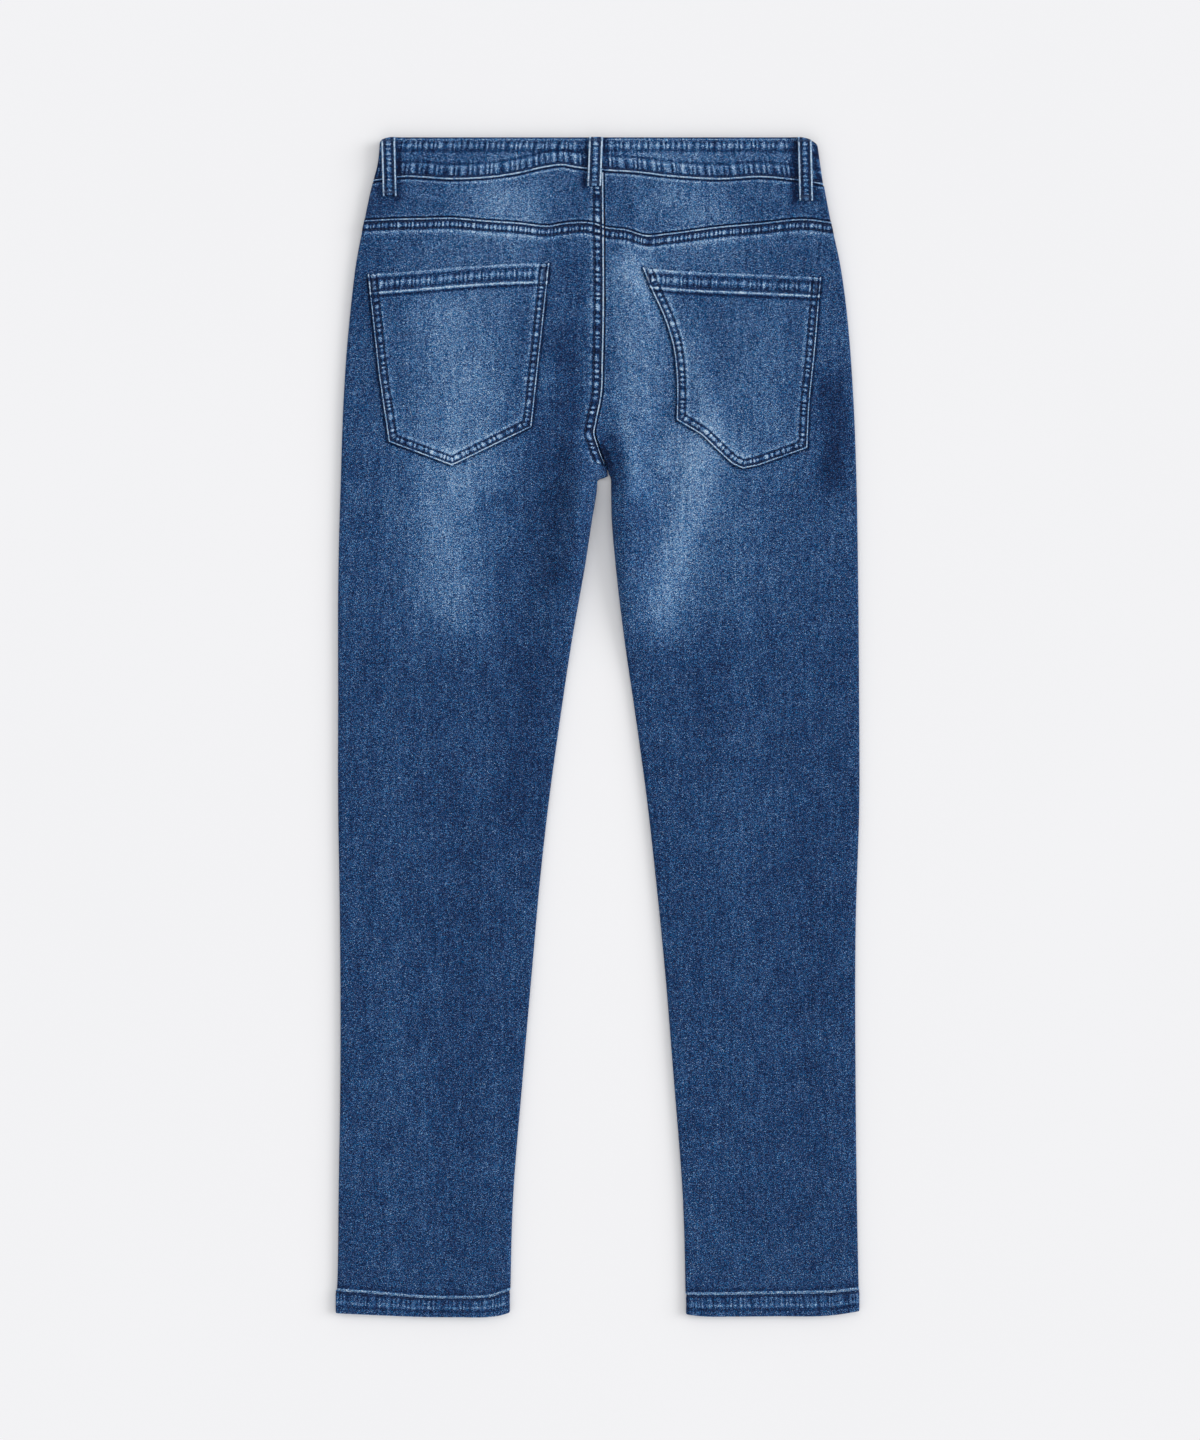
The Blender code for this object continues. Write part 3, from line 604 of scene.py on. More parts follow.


# %% [markdown]
# ## Washed denim
#
# Denim is a twill: indigo warp yarns lie over white weft yarns. Washing and wear take the blue off
# wherever the cloth stands up, so pale means worn. At arm's length single yarns melt into fine flecks,
# some warmer and some colder than others. The finish adds up one number, how worn the cloth is with
# painted light and shade mixed in, from the broad fade, the flecks, faint streaks, small crinkles and the
# sewn strips, and a colour ramp turns that number into a blue.
#
# A sewn strip has its own pattern of wear and painted shade, and it is the same one all over the
# garment. There is a dark crack at the seam, darkened as painted shade, a pale folded edge, and a row of
# stitches in a groove darkened as painted shade. Then come pale puckers that follow each other like the
# strands of a rope, a second dark row of painted shade, and a pale ridge where the hidden edge ends. Some
# strips also carry a painted shadow just past a folded edge.

# %% Blues, grain sizes and sewn strips
INDIGO = (
    (0.00, "#0e1830"),
    (0.16, "#17274b"),
    (0.30, "#283f6c"),
    (0.44, "#36507c"),
    (0.58, "#44699a"),
    (0.72, "#5b88b9"),
    (0.88, "#8bb2d6"),
    (1.00, "#c8d8e6"),
)
FLECK_MM = 0.75  # yarns are about 0.45 mm apart, and flecks of this size still show in the picture
STREAK_MM = 3.0
CRINKLE_MM = 0.9
MOTTLE_MM = 20.0
NOISE_TILT = (0.6, 0.4, 0.3)  # tilted, because noise fades out on the level planes of its own lattice


def felled(crack, edge, past):
    """Pale wear and dark painted shade against across for a felled seam: crack, folded edge, stitches,
    puckers, stitches, ridge. The crack and the two stitch grooves are darkened as painted shade.
    """
    fold = (-0.25, 0.0), (-0.19, 0.12), (-0.1, 0.0), (-0.05, crack), (0.04, crack), (0.09, edge)
    first_row = (0.15, edge), (0.22, -0.4), (0.34, -0.46), (0.41, -0.06)
    second_row = (0.6, 0.16), (0.72, -0.06), (0.78, -0.46), (0.87, -0.44)
    ridge = (0.95, 0.04), (1.06, past), (1.22, past / 3), (1.5, 0.0)
    return fold + first_row + second_row + ridge


# Across a pocket's mouth hem: the dark rows at its stitches are painted shade, and the dark line just past
# its lower fold is painted shadow.
MOUTH = (
    (-0.25, 0.0),
    (-0.1, -0.05),
    (0.0, 0.06),
    (0.07, 0.26),
    (0.16, 0.06),
    (0.26, -0.18),
    (0.38, -0.1),
    (0.52, 0.14),
    (0.66, -0.02),
    (0.86, -0.24),
    (0.94, 0.02),
    (1.0, 0.46),
    (1.07, 0.06),
    (1.15, -0.34),
    (1.3, 0.0),
)
# Across the waistband's foot: the dark crack at its lower edge is painted shadow, and the dark row at its
# stitches is painted shade.
BAND_FOOT = (
    (-0.25, 0.0),
    (-0.17, 0.28),
    (-0.1, 0.06),
    (-0.05, -0.44),
    (0.02, -0.46),
    (0.07, 0.4),
    (0.13, 0.52),
    (0.17, -0.34),
    (0.26, -0.44),
    (0.34, -0.06),
    (0.62, -0.02),
    (0.8, 0.14),
    (0.92, 0.0),
    (0.97, -0.2),
    (1.06, -0.18),
    (1.14, 0.02),
)
BAND_TOP = (
    (0.0, -0.25),
    (0.07, -0.2),
    (0.14, 0.22),
    (0.26, -0.06),
    (0.4, -0.08),
    (0.58, 0.14),
    (0.76, -0.02),
    (0.9, -0.22),
    (1.0, -0.2),
    (1.15, 0.02),
    (1.5, 0.0),
)
LOOP = (
    (0.0, 0.1),
    (0.05, 0.6),
    (0.15, 0.6),
    (0.23, -0.32),
    (0.38, -0.42),
    (0.46, -0.06),
    (0.6, 0.1),
    (0.7, 0.12),
)
HEM = (
    (-0.25, 0.0),
    (-0.16, -0.16),
    (-0.1, -0.02),
    (-0.07, 0.4),
    (0.01, 0.42),
    (0.05, -0.24),
    (0.12, -0.26),
    (0.2, 0.04),
    (0.42, 0.02),
    (0.5, 0.2),
    (0.58, 0.14),
    (0.66, -0.12),
    (0.74, -0.12),
    (0.82, 0.04),
    (0.94, 0.0),
    (1.0, 0.16),
)
SHADE_ONLY = ((-0.25, 0.0), (-0.18, -0.04), (-0.08, -0.34), (0.0, -0.4), (0.2, 0.0))
# For each kind of sewn strip: its wear with its painted shade, how strongly that shows, the stretch of
# across with puckers, the spacing of these in mm, and their strength.
SEAM_KINDS = {
    "yoke": (felled(-0.46, 0.34, 0.26), 1.3, (0.36, 0.78), 3.9, 0.62),
    "seat": (felled(-0.36, 0.6, 0.16), 1.25, (0.36, 0.78), 6.3, 0.76),
    "pocket": (felled(-0.42, 0.44, 0.2), 1.12, (0.36, 0.8), 5.6, 0.64),
    "mouth": (MOUTH, 1.45, (0.34, 0.74), 4.8, 0.44),
    "band": (BAND_FOOT, 1.12, (0.3, 0.84), 5.6, 0.54),
    "top": (BAND_TOP, 1.15, (0.3, 0.8), 5.2, 0.48),
    "hem": (HEM, 1.1, (0.15, 0.6), 4.6, 0.3),
    "loop": (LOOP, 1.3, (0.42, 0.7), 4.6, 0.44),
    # outline: a dark line round each pocket on the back panel, partly unwashed dye and partly painted
    # shade.
    "outline": (SHADE_ONLY, 1.0, (0.5, 0.6), 5.0, 0.0),
    "scoop": (felled(-0.3, 0.3, 0.18), 1.0, (0.36, 0.78), 5.4, 0.4),
    "fly": (felled(-0.1, 0.1, 0.1), 1.0, (0.36, 0.78), 5.4, 0.3),
}
print(len(SEAM_KINDS), "kinds of sewn strip")

# %% [markdown]
# ## Nodes for a finish
#
# A material is a small network of nodes. One helper adds a node with its settings, its links and its
# colour stops, so that the networks below can be read almost like sentences.

# %% Helpers for materials
def colour(code):
    """A linear colour from an sRGB hex code."""
    parts = [int(code[start : start + 2], 16) / 255 for start in (1, 3, 5)]
    return (*(part / 12.92 if part <= 0.04045 else ((part + 0.055) / 1.055) ** 2.4 for part in parts), 1.0)


def add(tree, kind, inputs=None, stops=(), **settings):
    """Adds a node with its settings, its ramp's stops, and a value or a link for each named input."""
    node = tree.nodes.new("ShaderNode" + kind)
    for name, value in settings.items():
        setattr(node, name, value)
    for name, value in (inputs or {}).items():
        if isinstance(value, bpy.types.NodeSocket):
            tree.links.new(value, node.inputs[name])
        else:
            node.inputs[name].default_value = value
    for number, (position, value) in enumerate(stops):
        elements = node.color_ramp.elements
        stop = elements[number] if number < 2 else elements.new(position)
        stop.position = position
        stop.color = colour(value) if isinstance(value, str) else (value, value, value, 1.0)
    return node


def new_material(name, roughness, specular, metallic=0.0):
    made = bpy.data.materials.new(name)
    made.use_nodes = True
    shader = made.node_tree.nodes["Principled BSDF"]
    shader.inputs["Roughness"].default_value = roughness
    shader.inputs["Specular IOR Level"].default_value = specular
    shader.inputs["Metallic"].default_value = metallic
    return made, made.node_tree, shader


def strip_stops(pairs):
    """Ramp stops for values given against across. The ramp runs from just before a seam to past it."""
    span = PAST_SEAM - BEFORE_SEAM
    return [((across - BEFORE_SEAM) / span, value + 0.5) for across, value in pairs]


print("black is", colour("#000000")[0], "and white is", colour("#ffffff")[0])

# %% [markdown]
# ## The washed cloth
#
# The broad fade, with its painted light and shade, comes first, then the flecks of single yarns, the
# crinkles, the streaks of uneven warp yarns and the slow mottle of the wash. Each sewn strip adds its own
# wear and painted shade, broken up along its length, because no two inches of a seam rub alike. The
# puckers are waves along the seam whose strength and spacing drift.

# %% Washed denim
DENIM_ROUGHNESS, DENIM_SPECULAR = 0.88, 0.1
SHEEN, SHEEN_ROUGHNESS = 0.02, 0.5
FLECK_WEAR, CRINKLE_WEAR = 2.9, 0.6
STREAK_WEAR, MOTTLE_WEAR = 0.24, 0.18
CRINKLE_WIDTH, STREAK_LENGTH, MOTTLE_LENGTH = 3.5, 12.0, 1.3
FLECK_RELIEF, CRINKLE_RELIEF, STRIP_RELIEF, PUCKER_RELIEF = 1.1, 1.4, 1.8, 0.5
RELIEF_MM, RELIEF_STRENGTH = 0.35, 0.85
WORN_LEAST, WORN_DRIFT = 0.35, 1.3  # a strip's wear swells and fades along it about 1
SWELL_LEAST, SWELL_DRIFT = -0.2, 2.4  # and its puckers do so too
PHASE_DRIFT, PHASE_SLANT = 9.0, 1.4  # puckers come unevenly, and they slant
WORN_REACH, PHASE_REACH, SWELL_REACH = 1.6, 2.2, 1.1  # how slowly each changes, in puckers
PAST_ROWS = 0.3  # how much of the puckers still shows beyond the second row of stitches
TINT_HUE, TINT_SATURATION, SATURATION = 0.035, -0.7, 1.08


def washed_denim(name, seams, shift=0.0):
    """Stretch denim, stonewashed, with the wear and painted shade of the named kinds of sewn strip."""
    made, tree, shader = new_material(name, DENIM_ROUGHNESS, DENIM_SPECULAR)
    where = add(tree, "TexCoord").outputs["Object"]

    def stored(label):
        return add(tree, "Attribute", attribute_name=label).outputs["Fac"]

    def sums(operation, *terms):
        return add(tree, "Math", dict(enumerate(terms)), operation=operation).outputs[0]

    def spots(size_mm, length, detail, bend=0.0):
        """Soft random spots about 0. length says how much longer they are down the leg than across it."""
        scale = (1 / (size_mm * MM), 1 / (size_mm * length * MM), 1 / (size_mm * MM))
        placing = {"Vector": where, "Scale": scale, "Rotation": NOISE_TILT, "Location": (shift,) * 3}
        laid = add(tree, "Mapping", placing).outputs["Vector"]
        spread = {"Vector": laid, "Scale": 1.0, "Detail": detail, "Distortion": bend}
        return sums("SUBTRACT", add(tree, "TexNoise", spread).outputs["Fac"], 0.5)

    def drift(along, length, detail=0.0):
        """A number that wanders between about 0.2 and 0.8 along a seam."""
        place_along = sums("MULTIPLY_ADD", along, 1 / length, shift + length)
        spread = {"W": place_along, "Scale": 1.0, "Detail": detail}
        return add(tree, "TexNoise", spread, noise_dimensions="1D").outputs["Fac"]

    flecks = spots(FLECK_MM, 0.6, 1.0)
    crinkles = spots(CRINKLE_MM * CRINKLE_WIDTH, 1 / CRINKLE_WIDTH, 1.0, bend=0.2)
    wear_and_shade = sums("MULTIPLY_ADD", flecks, FLECK_WEAR, stored("fade"))
    wear_and_shade = sums("MULTIPLY_ADD", crinkles, CRINKLE_WEAR, wear_and_shade)
    wear_and_shade = sums("MULTIPLY_ADD", spots(STREAK_MM, STREAK_LENGTH, 1.0), STREAK_WEAR, wear_and_shade)
    wear_and_shade = sums("MULTIPLY_ADD", spots(MOTTLE_MM, MOTTLE_LENGTH, 2.0), MOTTLE_WEAR, wear_and_shade)
    relief = sums("MULTIPLY_ADD", flecks, FLECK_RELIEF, sums("MULTIPLY", crinkles, CRINKLE_RELIEF))

    for seam in seams:
        profile, contrast, (start, end), spacing, strength = SEAM_KINDS[seam]
        along = stored(f"{seam}_along")
        across = stored(f"{seam}_across")
        span = PAST_SEAM - BEFORE_SEAM
        position = sums("MULTIPLY_ADD", across, 1 / span, -BEFORE_SEAM / span)
        strip = add(tree, "ValToRGB", {"Fac": position}, strip_stops(profile)).outputs["Color"]
        patches = drift(along, WORN_REACH * spacing, 2.0)
        strip_contrast = sums("MULTIPLY_ADD", patches, contrast * WORN_DRIFT, contrast * WORN_LEAST)
        edge = sums("MULTIPLY", sums("SUBTRACT", strip, 0.5), strip_contrast)
        wear_and_shade = sums("ADD", wear_and_shade, edge)
        relief = sums("MULTIPLY_ADD", edge, STRIP_RELIEF, relief)
        if strength:
            reach_stops = strip_stops((
                (start - 0.08, -0.5),
                (start + 0.05, 0.5),
                (end - 0.05, 0.5),
                (end + 0.08, PAST_ROWS - 0.5),
                (end + 0.4, PAST_ROWS - 0.5),
                (end + 0.5, -0.5),
            ))
            reach = add(tree, "ValToRGB", {"Fac": position}, reach_stops).outputs["Color"]
            phase = sums("MULTIPLY", drift(along, PHASE_REACH * spacing), PHASE_DRIFT)
            phase = sums("MULTIPLY_ADD", along, 2 * math.pi / spacing, phase)
            phase = sums("MULTIPLY_ADD", across, PHASE_SLANT, phase)
            swell = drift(along, SWELL_REACH * spacing, 1.0)
            swell = sums("MULTIPLY_ADD", swell, SWELL_DRIFT, SWELL_LEAST)
            ropes = sums("MULTIPLY", sums("MULTIPLY", sums("SINE", phase), reach), swell)
            wear_and_shade = sums("MULTIPLY_ADD", ropes, strength / 2, wear_and_shade)
            relief = sums("MULTIPLY_ADD", ropes, PUCKER_RELIEF, relief)

    blue = add(tree, "ValToRGB", {"Fac": wear_and_shade}, INDIGO).outputs["Color"]
    tint = spots(FLECK_MM * 1.3, 1.0, 0.0)
    washed = {
        "Color": blue,
        "Hue": sums("MULTIPLY_ADD", tint, TINT_HUE, 0.5),
        "Saturation": sums("MULTIPLY_ADD", tint, TINT_SATURATION, SATURATION),
    }
    tree.links.new(add(tree, "HueSaturation", washed).outputs["Color"], shader.inputs["Base Color"])
    bumps = {"Height": relief, "Distance": RELIEF_MM * MM, "Strength": RELIEF_STRENGTH}
    tree.links.new(add(tree, "Bump", bumps).outputs["Normal"], shader.inputs["Normal"])
    shader.inputs["Sheen Weight"].default_value = SHEEN
    shader.inputs["Sheen Roughness"].default_value = SHEEN_ROUGHNESS
    return made


back_denim = washed_denim("washed stretch denim, backs", ("yoke", "seat", "outline", "hem"))
yoke_denim = washed_denim("washed stretch denim, yokes", ("yoke", "seat", "band"), shift=7.0)
band_denim = washed_denim("washed stretch denim, waistband", ("band", "top"), shift=3.0)
pocket_denim = washed_denim("washed stretch denim, pockets", ("pocket", "mouth"), shift=5.0)
loop_denim = washed_denim("washed stretch denim, belt loops", ("loop",), shift=9.0)
hem_denim = washed_denim("washed stretch denim, hems", ("hem",), shift=2.0)
front_denim = washed_denim("washed stretch denim, fronts", ("scoop", "fly"), shift=4.0)
print("the waistband's denim takes", len(band_denim.node_tree.nodes), "nodes")

# %% [markdown]
# ## Thread, brass and paper
#
# The sewing thread is dyed near the cloth's own blue, so the stitches hardly show but for their shine.
# Buttons and zips for jeans are brass with an antique plating. The sheet under the garment is matt white
# paper.

# %% Thread, brass and paper
def grained(name, shine, tones, grain_mm, detail, relief_mm, strength):
    """A material whose one grain tints it and roughens it. shine: roughness, specular and metallic."""
    made, tree, shader = new_material(name, *shine)
    where = add(tree, "TexCoord").outputs["Object"]
    placing = {"Vector": where, "Scale": 1 / (grain_mm * MM), "Detail": detail}
    grain = add(tree, "TexNoise", placing).outputs["Fac"]
    tint = add(tree, "ValToRGB", {"Fac": grain}, tones).outputs["Color"]
    tree.links.new(tint, shader.inputs["Base Color"])
    bumps = {"Height": grain, "Distance": relief_mm * MM, "Strength": strength}
    tree.links.new(add(tree, "Bump", bumps).outputs["Normal"], shader.inputs["Normal"])
    return made


# Thread has a faint twist. Antique brass is brown in the hollows and rubbed to yellow on the edges.
THREAD_TONES = (0.3, "#14223d"), (0.7, "#3a5580")
BRASS_TONES = (0.3, "#5b4630"), (0.55, "#8a6d42"), (0.75, "#b08d57")
thread = grained(
    "tonal sewing thread", (0.6, 0.3), THREAD_TONES, grain_mm=0.6, detail=1.0, relief_mm=0.1, strength=0.6
)
brass = grained(
    "aged brass", (0.42, 0.5, 1.0), BRASS_TONES, grain_mm=1.8, detail=4.0, relief_mm=0.05, strength=0.5
)
paper, paper_tree, paper_shader = new_material("matt white paper", 0.95, 0.0)
paper_place = add(paper_tree, "TexCoord").outputs["Object"]
paper_grain = add(paper_tree, "TexNoise", {"Vector": paper_place, "Scale": 3.0}).outputs["Fac"]
paper_tones = add(paper_tree, "ValToRGB", {"Fac": paper_grain}, ((0.0, "#efeff1"), (1.0, "#f1f1f3")))
paper_tree.links.new(paper_tones.outputs["Color"], paper_shader.inputs["Base Color"])
floor.data.materials.append(paper)
print("thread, brass and paper take", len(thread.node_tree.nodes) + len(brass.node_tree.nodes), "nodes")

# %% [markdown]
# ## Where the wash took the blue, with painted light and shade
#
# A pair of jeans is washed with stones while it lies rolled or stuffed, so the fade has a plan: pale
# seat, pale thighs, dark legs, and dark hollows beside the seams, which are partly painted shade. A table
# of soft strokes paints it, each with a start, an end, a width and an amount, as one would with an
# airbrush. Some strokes are painted highlight and painted shade on the lit and shaded sides of folds,
# creases and small ripples, and some are painted shadow beside the back belt loops. A dark spot of
# painted shade lies above the crotch.

# %% Fade, with painted light and shade
FADE_DOWN = table(
    "down fade",
    (0, 0.27),
    (60, 0.27),
    (110, 0.25),
    (250, 0.25),
    (420, 0.225),
    (470, 0.2),
    (520, 0.195),
    (1063, 0.2),
)
FADE_AND_SHADE_STROKES = table(
    "x1 down1 bend_x bend_down x2 down2 height width",
    (-85, 18, 0, 20, 60, 18, 0.10, 20),
    (76, 16, 120, 18, 168, 16, 0.06, 18),
    (-46, 48, -36, 62, -32, 84, -0.07, 12),
    (-100, 58, -76, 58, -60, 66, 0.19, 26),
    (-76, 88, -68, 106, -64, 124, 0.13, 22),
    (-150, 104, -130, 100, -110, 108, 0.06, 34),
    (60, 56, 78, 54, 96, 60, 0.12, 30),
    (80, 104, 100, 96, 118, 108, 0.12, 28),
    (-128, 172, -122, 210, -124, 262, 0.255, 47),
    (-130, 318, -134, 366, -137, 412, 0.2, 37),
    (34, 126, 44, 200, 50, 285, 0.2, 30),
    # Painted highlight on the lit side of the crease through the right pocket.
    (30, 112, 74, 176, 100, 250, 0.14, 13),
    (98, 276, 88, 330, 58, 428, 0.21, 27),
    (24, 258, 34, 288, 33, 320, 0.12, 7),
    (20, 176, 27, 200, 24, 226, 0.07, 8),
    # Pale and dark by turns: painted highlight and painted shade on small ripples and whiskers.
    (-6, 150, -26, 158, -44, 170, 0.06, 3.5),
    (-8, 176, -28, 187, -52, 196, -0.05, 3.6),
    (-8, 204, -30, 217, -56, 221, 0.06, 3.0),
    (-10, 228, -34, 239, -58, 241, -0.05, 3.2),
    (14, 196, 30, 206, 50, 222, -0.05, 4.0),
    (12, 232, 26, 246, 52, 254, 0.06, 4.0),
    (-178, 46, -160, 53, -138, 56, 0.07, 2.8),
    (-170, 57, -150, 63, -126, 63, -0.05, 3.0),
    (-122, 45, -105, 54, -90, 68, 0.06, 3.0),
    (-96, 84, -112, 94, -150, 96, 0.05, 3.2),
    (60, 78, 84, 70, 124, 70, 0.06, 3.2),
    (132, 46, 150, 54, 176, 54, 0.05, 3.0),
    (150, 92, 172, 98, 196, 94, 0.05, 3.4),
    (-62, 306, -92, 316, -130, 312, 0.05, 4.0),
    (-50, 330, -84, 346, -120, 346, -0.04, 4.5),
    (100, 300, 110, 350, 92, 405, 0.05, 46),
    (150, 170, 146, 210, 150, 260, 0.11, 42),
    (-30, 178, -26, 240, -28, 290, -0.09, 15),
    (-40, 296, -36, 340, -36, 384, -0.11, 22),
    # Painted shade in the hollows beside the crotch.
    (15, 270, 18, 290, 17, 306, -0.16, 9),
    (-6, 255, -8, 262, -8, 275, -0.1, 8),
    (210, 226, 214, 262, 212, 306, -0.22, 15),
    (-209, 120, -210, 140, -208, 170, -0.07, 13),
    (-200, 56, -203, 64, -206, 72, -0.10, 18),
    (200, 50, 203, 56, 206, 62, -0.06, 22),
    (90, 480, 96, 500, 100, 520, -0.05, 22),
    (-62, 470, -62, 520, -68, 600, -0.08, 22),
    # Painted shadow beside the back belt loops.
    (-179, 5, -179, 30, -180, 55, -0.34, 3.0),
    (-197, 6, -197, 30, -197, 52, -0.24, 2.0),
    (-11, 4, -11, 24, -12, 43, -0.34, 2.8),
    (7, 2, 7, 16, 6, 30, -0.3, 2.2),
    (177, 4, 177, 30, 178, 57, -0.36, 3.4),
    (196, 4, 196, 30, 197, 57, -0.26, 1.8),
)
CREASE_FADE = 0.05
# Above the crotch a dark spot of painted shade lies on the folded cloth, and it leans a little.
SPOT_X, SPOT_DOWN, SPOT_LEAN = 6.5, 288, 0.25
SPOT_HALF_WIDTH, SPOT_HALF_HEIGHT, SPOT_SHADE = 5.5, 12, 0.4


def fade_and_shade_at(x, down, lift=0.0):
    """How far the dye is washed out, from 0 (dark) to 1 (white), with painted shade and highlight added."""
    fade = smooth(FADE_DOWN, "down", "fade", down) + lift + soft_curves(FADE_AND_SHADE_STROKES, x, down)
    below = down - SPOT_DOWN
    beside = (x - SPOT_X - SPOT_LEAN * below) / SPOT_HALF_WIDTH
    shade_spot = np.exp(-((beside**2 + (below / SPOT_HALF_HEIGHT) ** 2) ** 2))
    return fade + CREASE_FADE * soft_curves(CREASES, x, down) - SPOT_SHADE * shade_spot


print("fade on the left thigh", round(float(fade_and_shade_at(-140.0, 380.0)), 2))

# %% [markdown]
# ## The back pockets' outlines
#
# The pockets are drawn first, because the back panels carry a dark line round them, partly unwashed dye
# and partly painted shade. The left pocket lies true. The right one was pulled when the jeans were laid
# out, so its inner side bows.

# %% Pocket outlines
POCKET_MOUTH_LINE = table(
    "x down",
    (-207.5, 123.3),
    (-42.8, 113.4),
    (0, 115.0),
    (40, 117.0),
    (58, 118.8),
    (145, 123.3),
    (202, 126.0),
)
POCKET_SIDES = {
    -1: table("part outer inner", (0, 207.5, 42.8), (0.6, 197.6, 52.5), (1, 188.6, 59.0)),
    1: table(
        "part outer inner",
        (0, 202.0, 40.0),
        (0.14, 200.0, 48.0),
        (0.29, 198.3, 58.0),
        (0.52, 195.0, 68.0),
        (0.7, 192.0, 70.7),
        (1, 189.5, 70.7),
    ),
}
POCKET_FEET = {
    -1: table("x down", (-188.6, 274.5), (-131, 296.1), (-59, 261.0)),
    1: table(
        "x down",
        (70.7, 254.7),
        (93, 268.0),
        (109, 283.5),
        (121, 294.5),
        (131, 298.8),
        (145, 296.0),
        (189.5, 280.0),
    ),
}
POCKET_ROWS, POCKET_COLUMNS = 120, 118


def pocket_grid(side):
    """Plan places over one pocket, in rows from its mouth to its foot."""
    sides, foot = POCKET_SIDES[side], POCKET_FEET[side]
    part = np.linspace(0, 1, POCKET_ROWS)[:, None]
    if side < 0:
        outer, inner = (np.interp(part, sides["part"], sides[name]) for name in ("outer", "inner"))
    else:
        outer, inner = (smooth(sides, "part", name, part) for name in ("outer", "inner"))
    x = side * mix(outer, inner, np.linspace(0, 1, POCKET_COLUMNS)[None, :])
    foot_down = np.interp(x[-1], foot["x"], foot["down"])
    return x, mix(smooth(POCKET_MOUTH_LINE, "x", "down", x), foot_down[None, :], part)


def near_path(path, x, down):
    """Distance from a path of plan places, and how far along it the nearest place is."""
    best = np.full(x.shape, 1e9)
    along = np.zeros(x.shape)
    walked = 0.0
    for (start_x, start_down), (end_x, end_down) in zip(path, path[1:]):
        run_x, run_down = end_x - start_x, end_down - start_down
        length = math.hypot(run_x, run_down)
        part = np.clip(((x - start_x) * run_x + (down - start_down) * run_down) / length**2, 0, 1)
        away = np.hypot(x - start_x - part * run_x, down - start_down - part * run_down)
        along = np.where(away < best, walked + part * length, along)
        best = np.minimum(best, away)
        walked += length
    return best, along


def pocket_border(side):
    """The pocket's sewn edge: down its outer side, along its foot and up its inner side."""
    x, down = pocket_grid(side)
    down_side = np.stack([x[:-1:7, 0], down[:-1:7, 0]], axis=1)
    foot = np.stack([x[-1, ::3], down[-1, ::3]], axis=1)
    up_side = np.stack([x[-8::-7, -1], down[-8::-7, -1]], axis=1)
    return np.concatenate([down_side, foot, up_side])


pocket_paths = {half: pocket_border(half) for half in (-1, 1)}
print("pocket borders", [len(path) for path in pocket_paths.values()], "places")

# %% [markdown]
# ## Sewn strips
#
# Where two panels meet, the edge of one is folded over the other and sewn down twice. That makes a raised
# strip with a groove along each row of stitches and small puckers between them. On the yoke seam the back
# panel is on top, and down the seat the left half is. The strips are raised in the shell, because they
# catch the light.

# %% Sewn strips in relief
SEAM_WIDTH = {
    "yoke": 11.5,
    "seat": 11.0,
    "pocket": 9.6,
    "mouth": 17.2,
    "band": 14.5,
    "top": 12.6,
    "hem": 20.0,
    "loop": 9.0,
}
PUCKER_SPACING = {
    "yoke": 9.2,
    "seat": 6.3,
    "pocket": 5.6,
    "mouth": 5.2,
    "band": 6.6,
    "top": 6.0,
    "hem": 5.6,
    "loop": 4.6,
}
FIRST_ROW, BETWEEN_ROWS, SECOND_ROW = 0.31, 0.57, 0.83  # places across a strip
GROOVE_WIDTH, PUCKER_WIDTH = 0.07, 0.2
GROOVE_MM, RIDGE_MM, PUCKER_MM = 0.3, 0.12, 0.16
UNEVEN, UNEVEN_MM = 1.3, 17  # how far the puckers' spacing drifts, and over what length
SEAM_RAISE = 0.8
FOLD_ENDS = 0.92, 1.08  # where across a strip the folded edge underneath ends
SEAT_FLATTENS, SEAT_FLAT = 286, 298
BAND_FRONT_DIP = 16.0
BAND_FRONT_HALF = 200
BAND_DEPTH = 40.0


def plan_of(middle):
    return middle[:, :, 0], middle[:, :, 1]


def hump(across):
    """Relief of a sewn strip in mm: a groove at each of its two rows of stitches, a ridge between."""
    ridge = RIDGE_MM * bump(across, BETWEEN_ROWS, PUCKER_WIDTH)
    first = GROOVE_MM * bump(across, FIRST_ROW, GROOVE_WIDTH)
    return ridge - first - GROOVE_MM * bump(across, SECOND_ROW, GROOVE_WIDTH)


def puckers(seam, across, along):
    """Small bulges in a row between the two rows of stitches, in mm."""
    wave = np.sin(2 * math.pi * along / PUCKER_SPACING[seam] + UNEVEN * np.sin(along / UNEVEN_MM))
    return PUCKER_MM * bump(across, BETWEEN_ROWS, PUCKER_WIDTH) * wave


def seat_place(side, x, down):
    """Across and along the felled seat seam. It ends at the crotch."""
    beyond = PAST_SEAM if side < 0 else BEFORE_SEAM
    return np.where(down < CROTCH_DOWN - 3, (seat_seam(down) - x) / SEAM_WIDTH["seat"], beyond), down


def seat_raise(side, x, down):
    """The left half is folded over the right one, so it is higher for the width of the strip."""
    across, along = seat_place(side, x, down)
    folded = SEAM_RAISE * (1 - eased(*FOLD_ENDS, across)) * (1 - eased(SEAT_FLATTENS, SEAT_FLAT, down))
    return (folded + hump(across) + puckers("seat", across, along)) * (side < 0)


def front_waist_line(x):
    return band_front_line(x) + SEAM_GAP


def band_front_top(x):
    """The waistband's upper edge across the front."""
    return BAND_FRONT_DIP * (1 - eased(0, BAND_FRONT_HALF, np.abs(x)))


def band_corner(x):
    """How far the waistband's upper edge rounds down at its two corners."""
    return smooth(BAND_CORNERS, "x", "down", x)


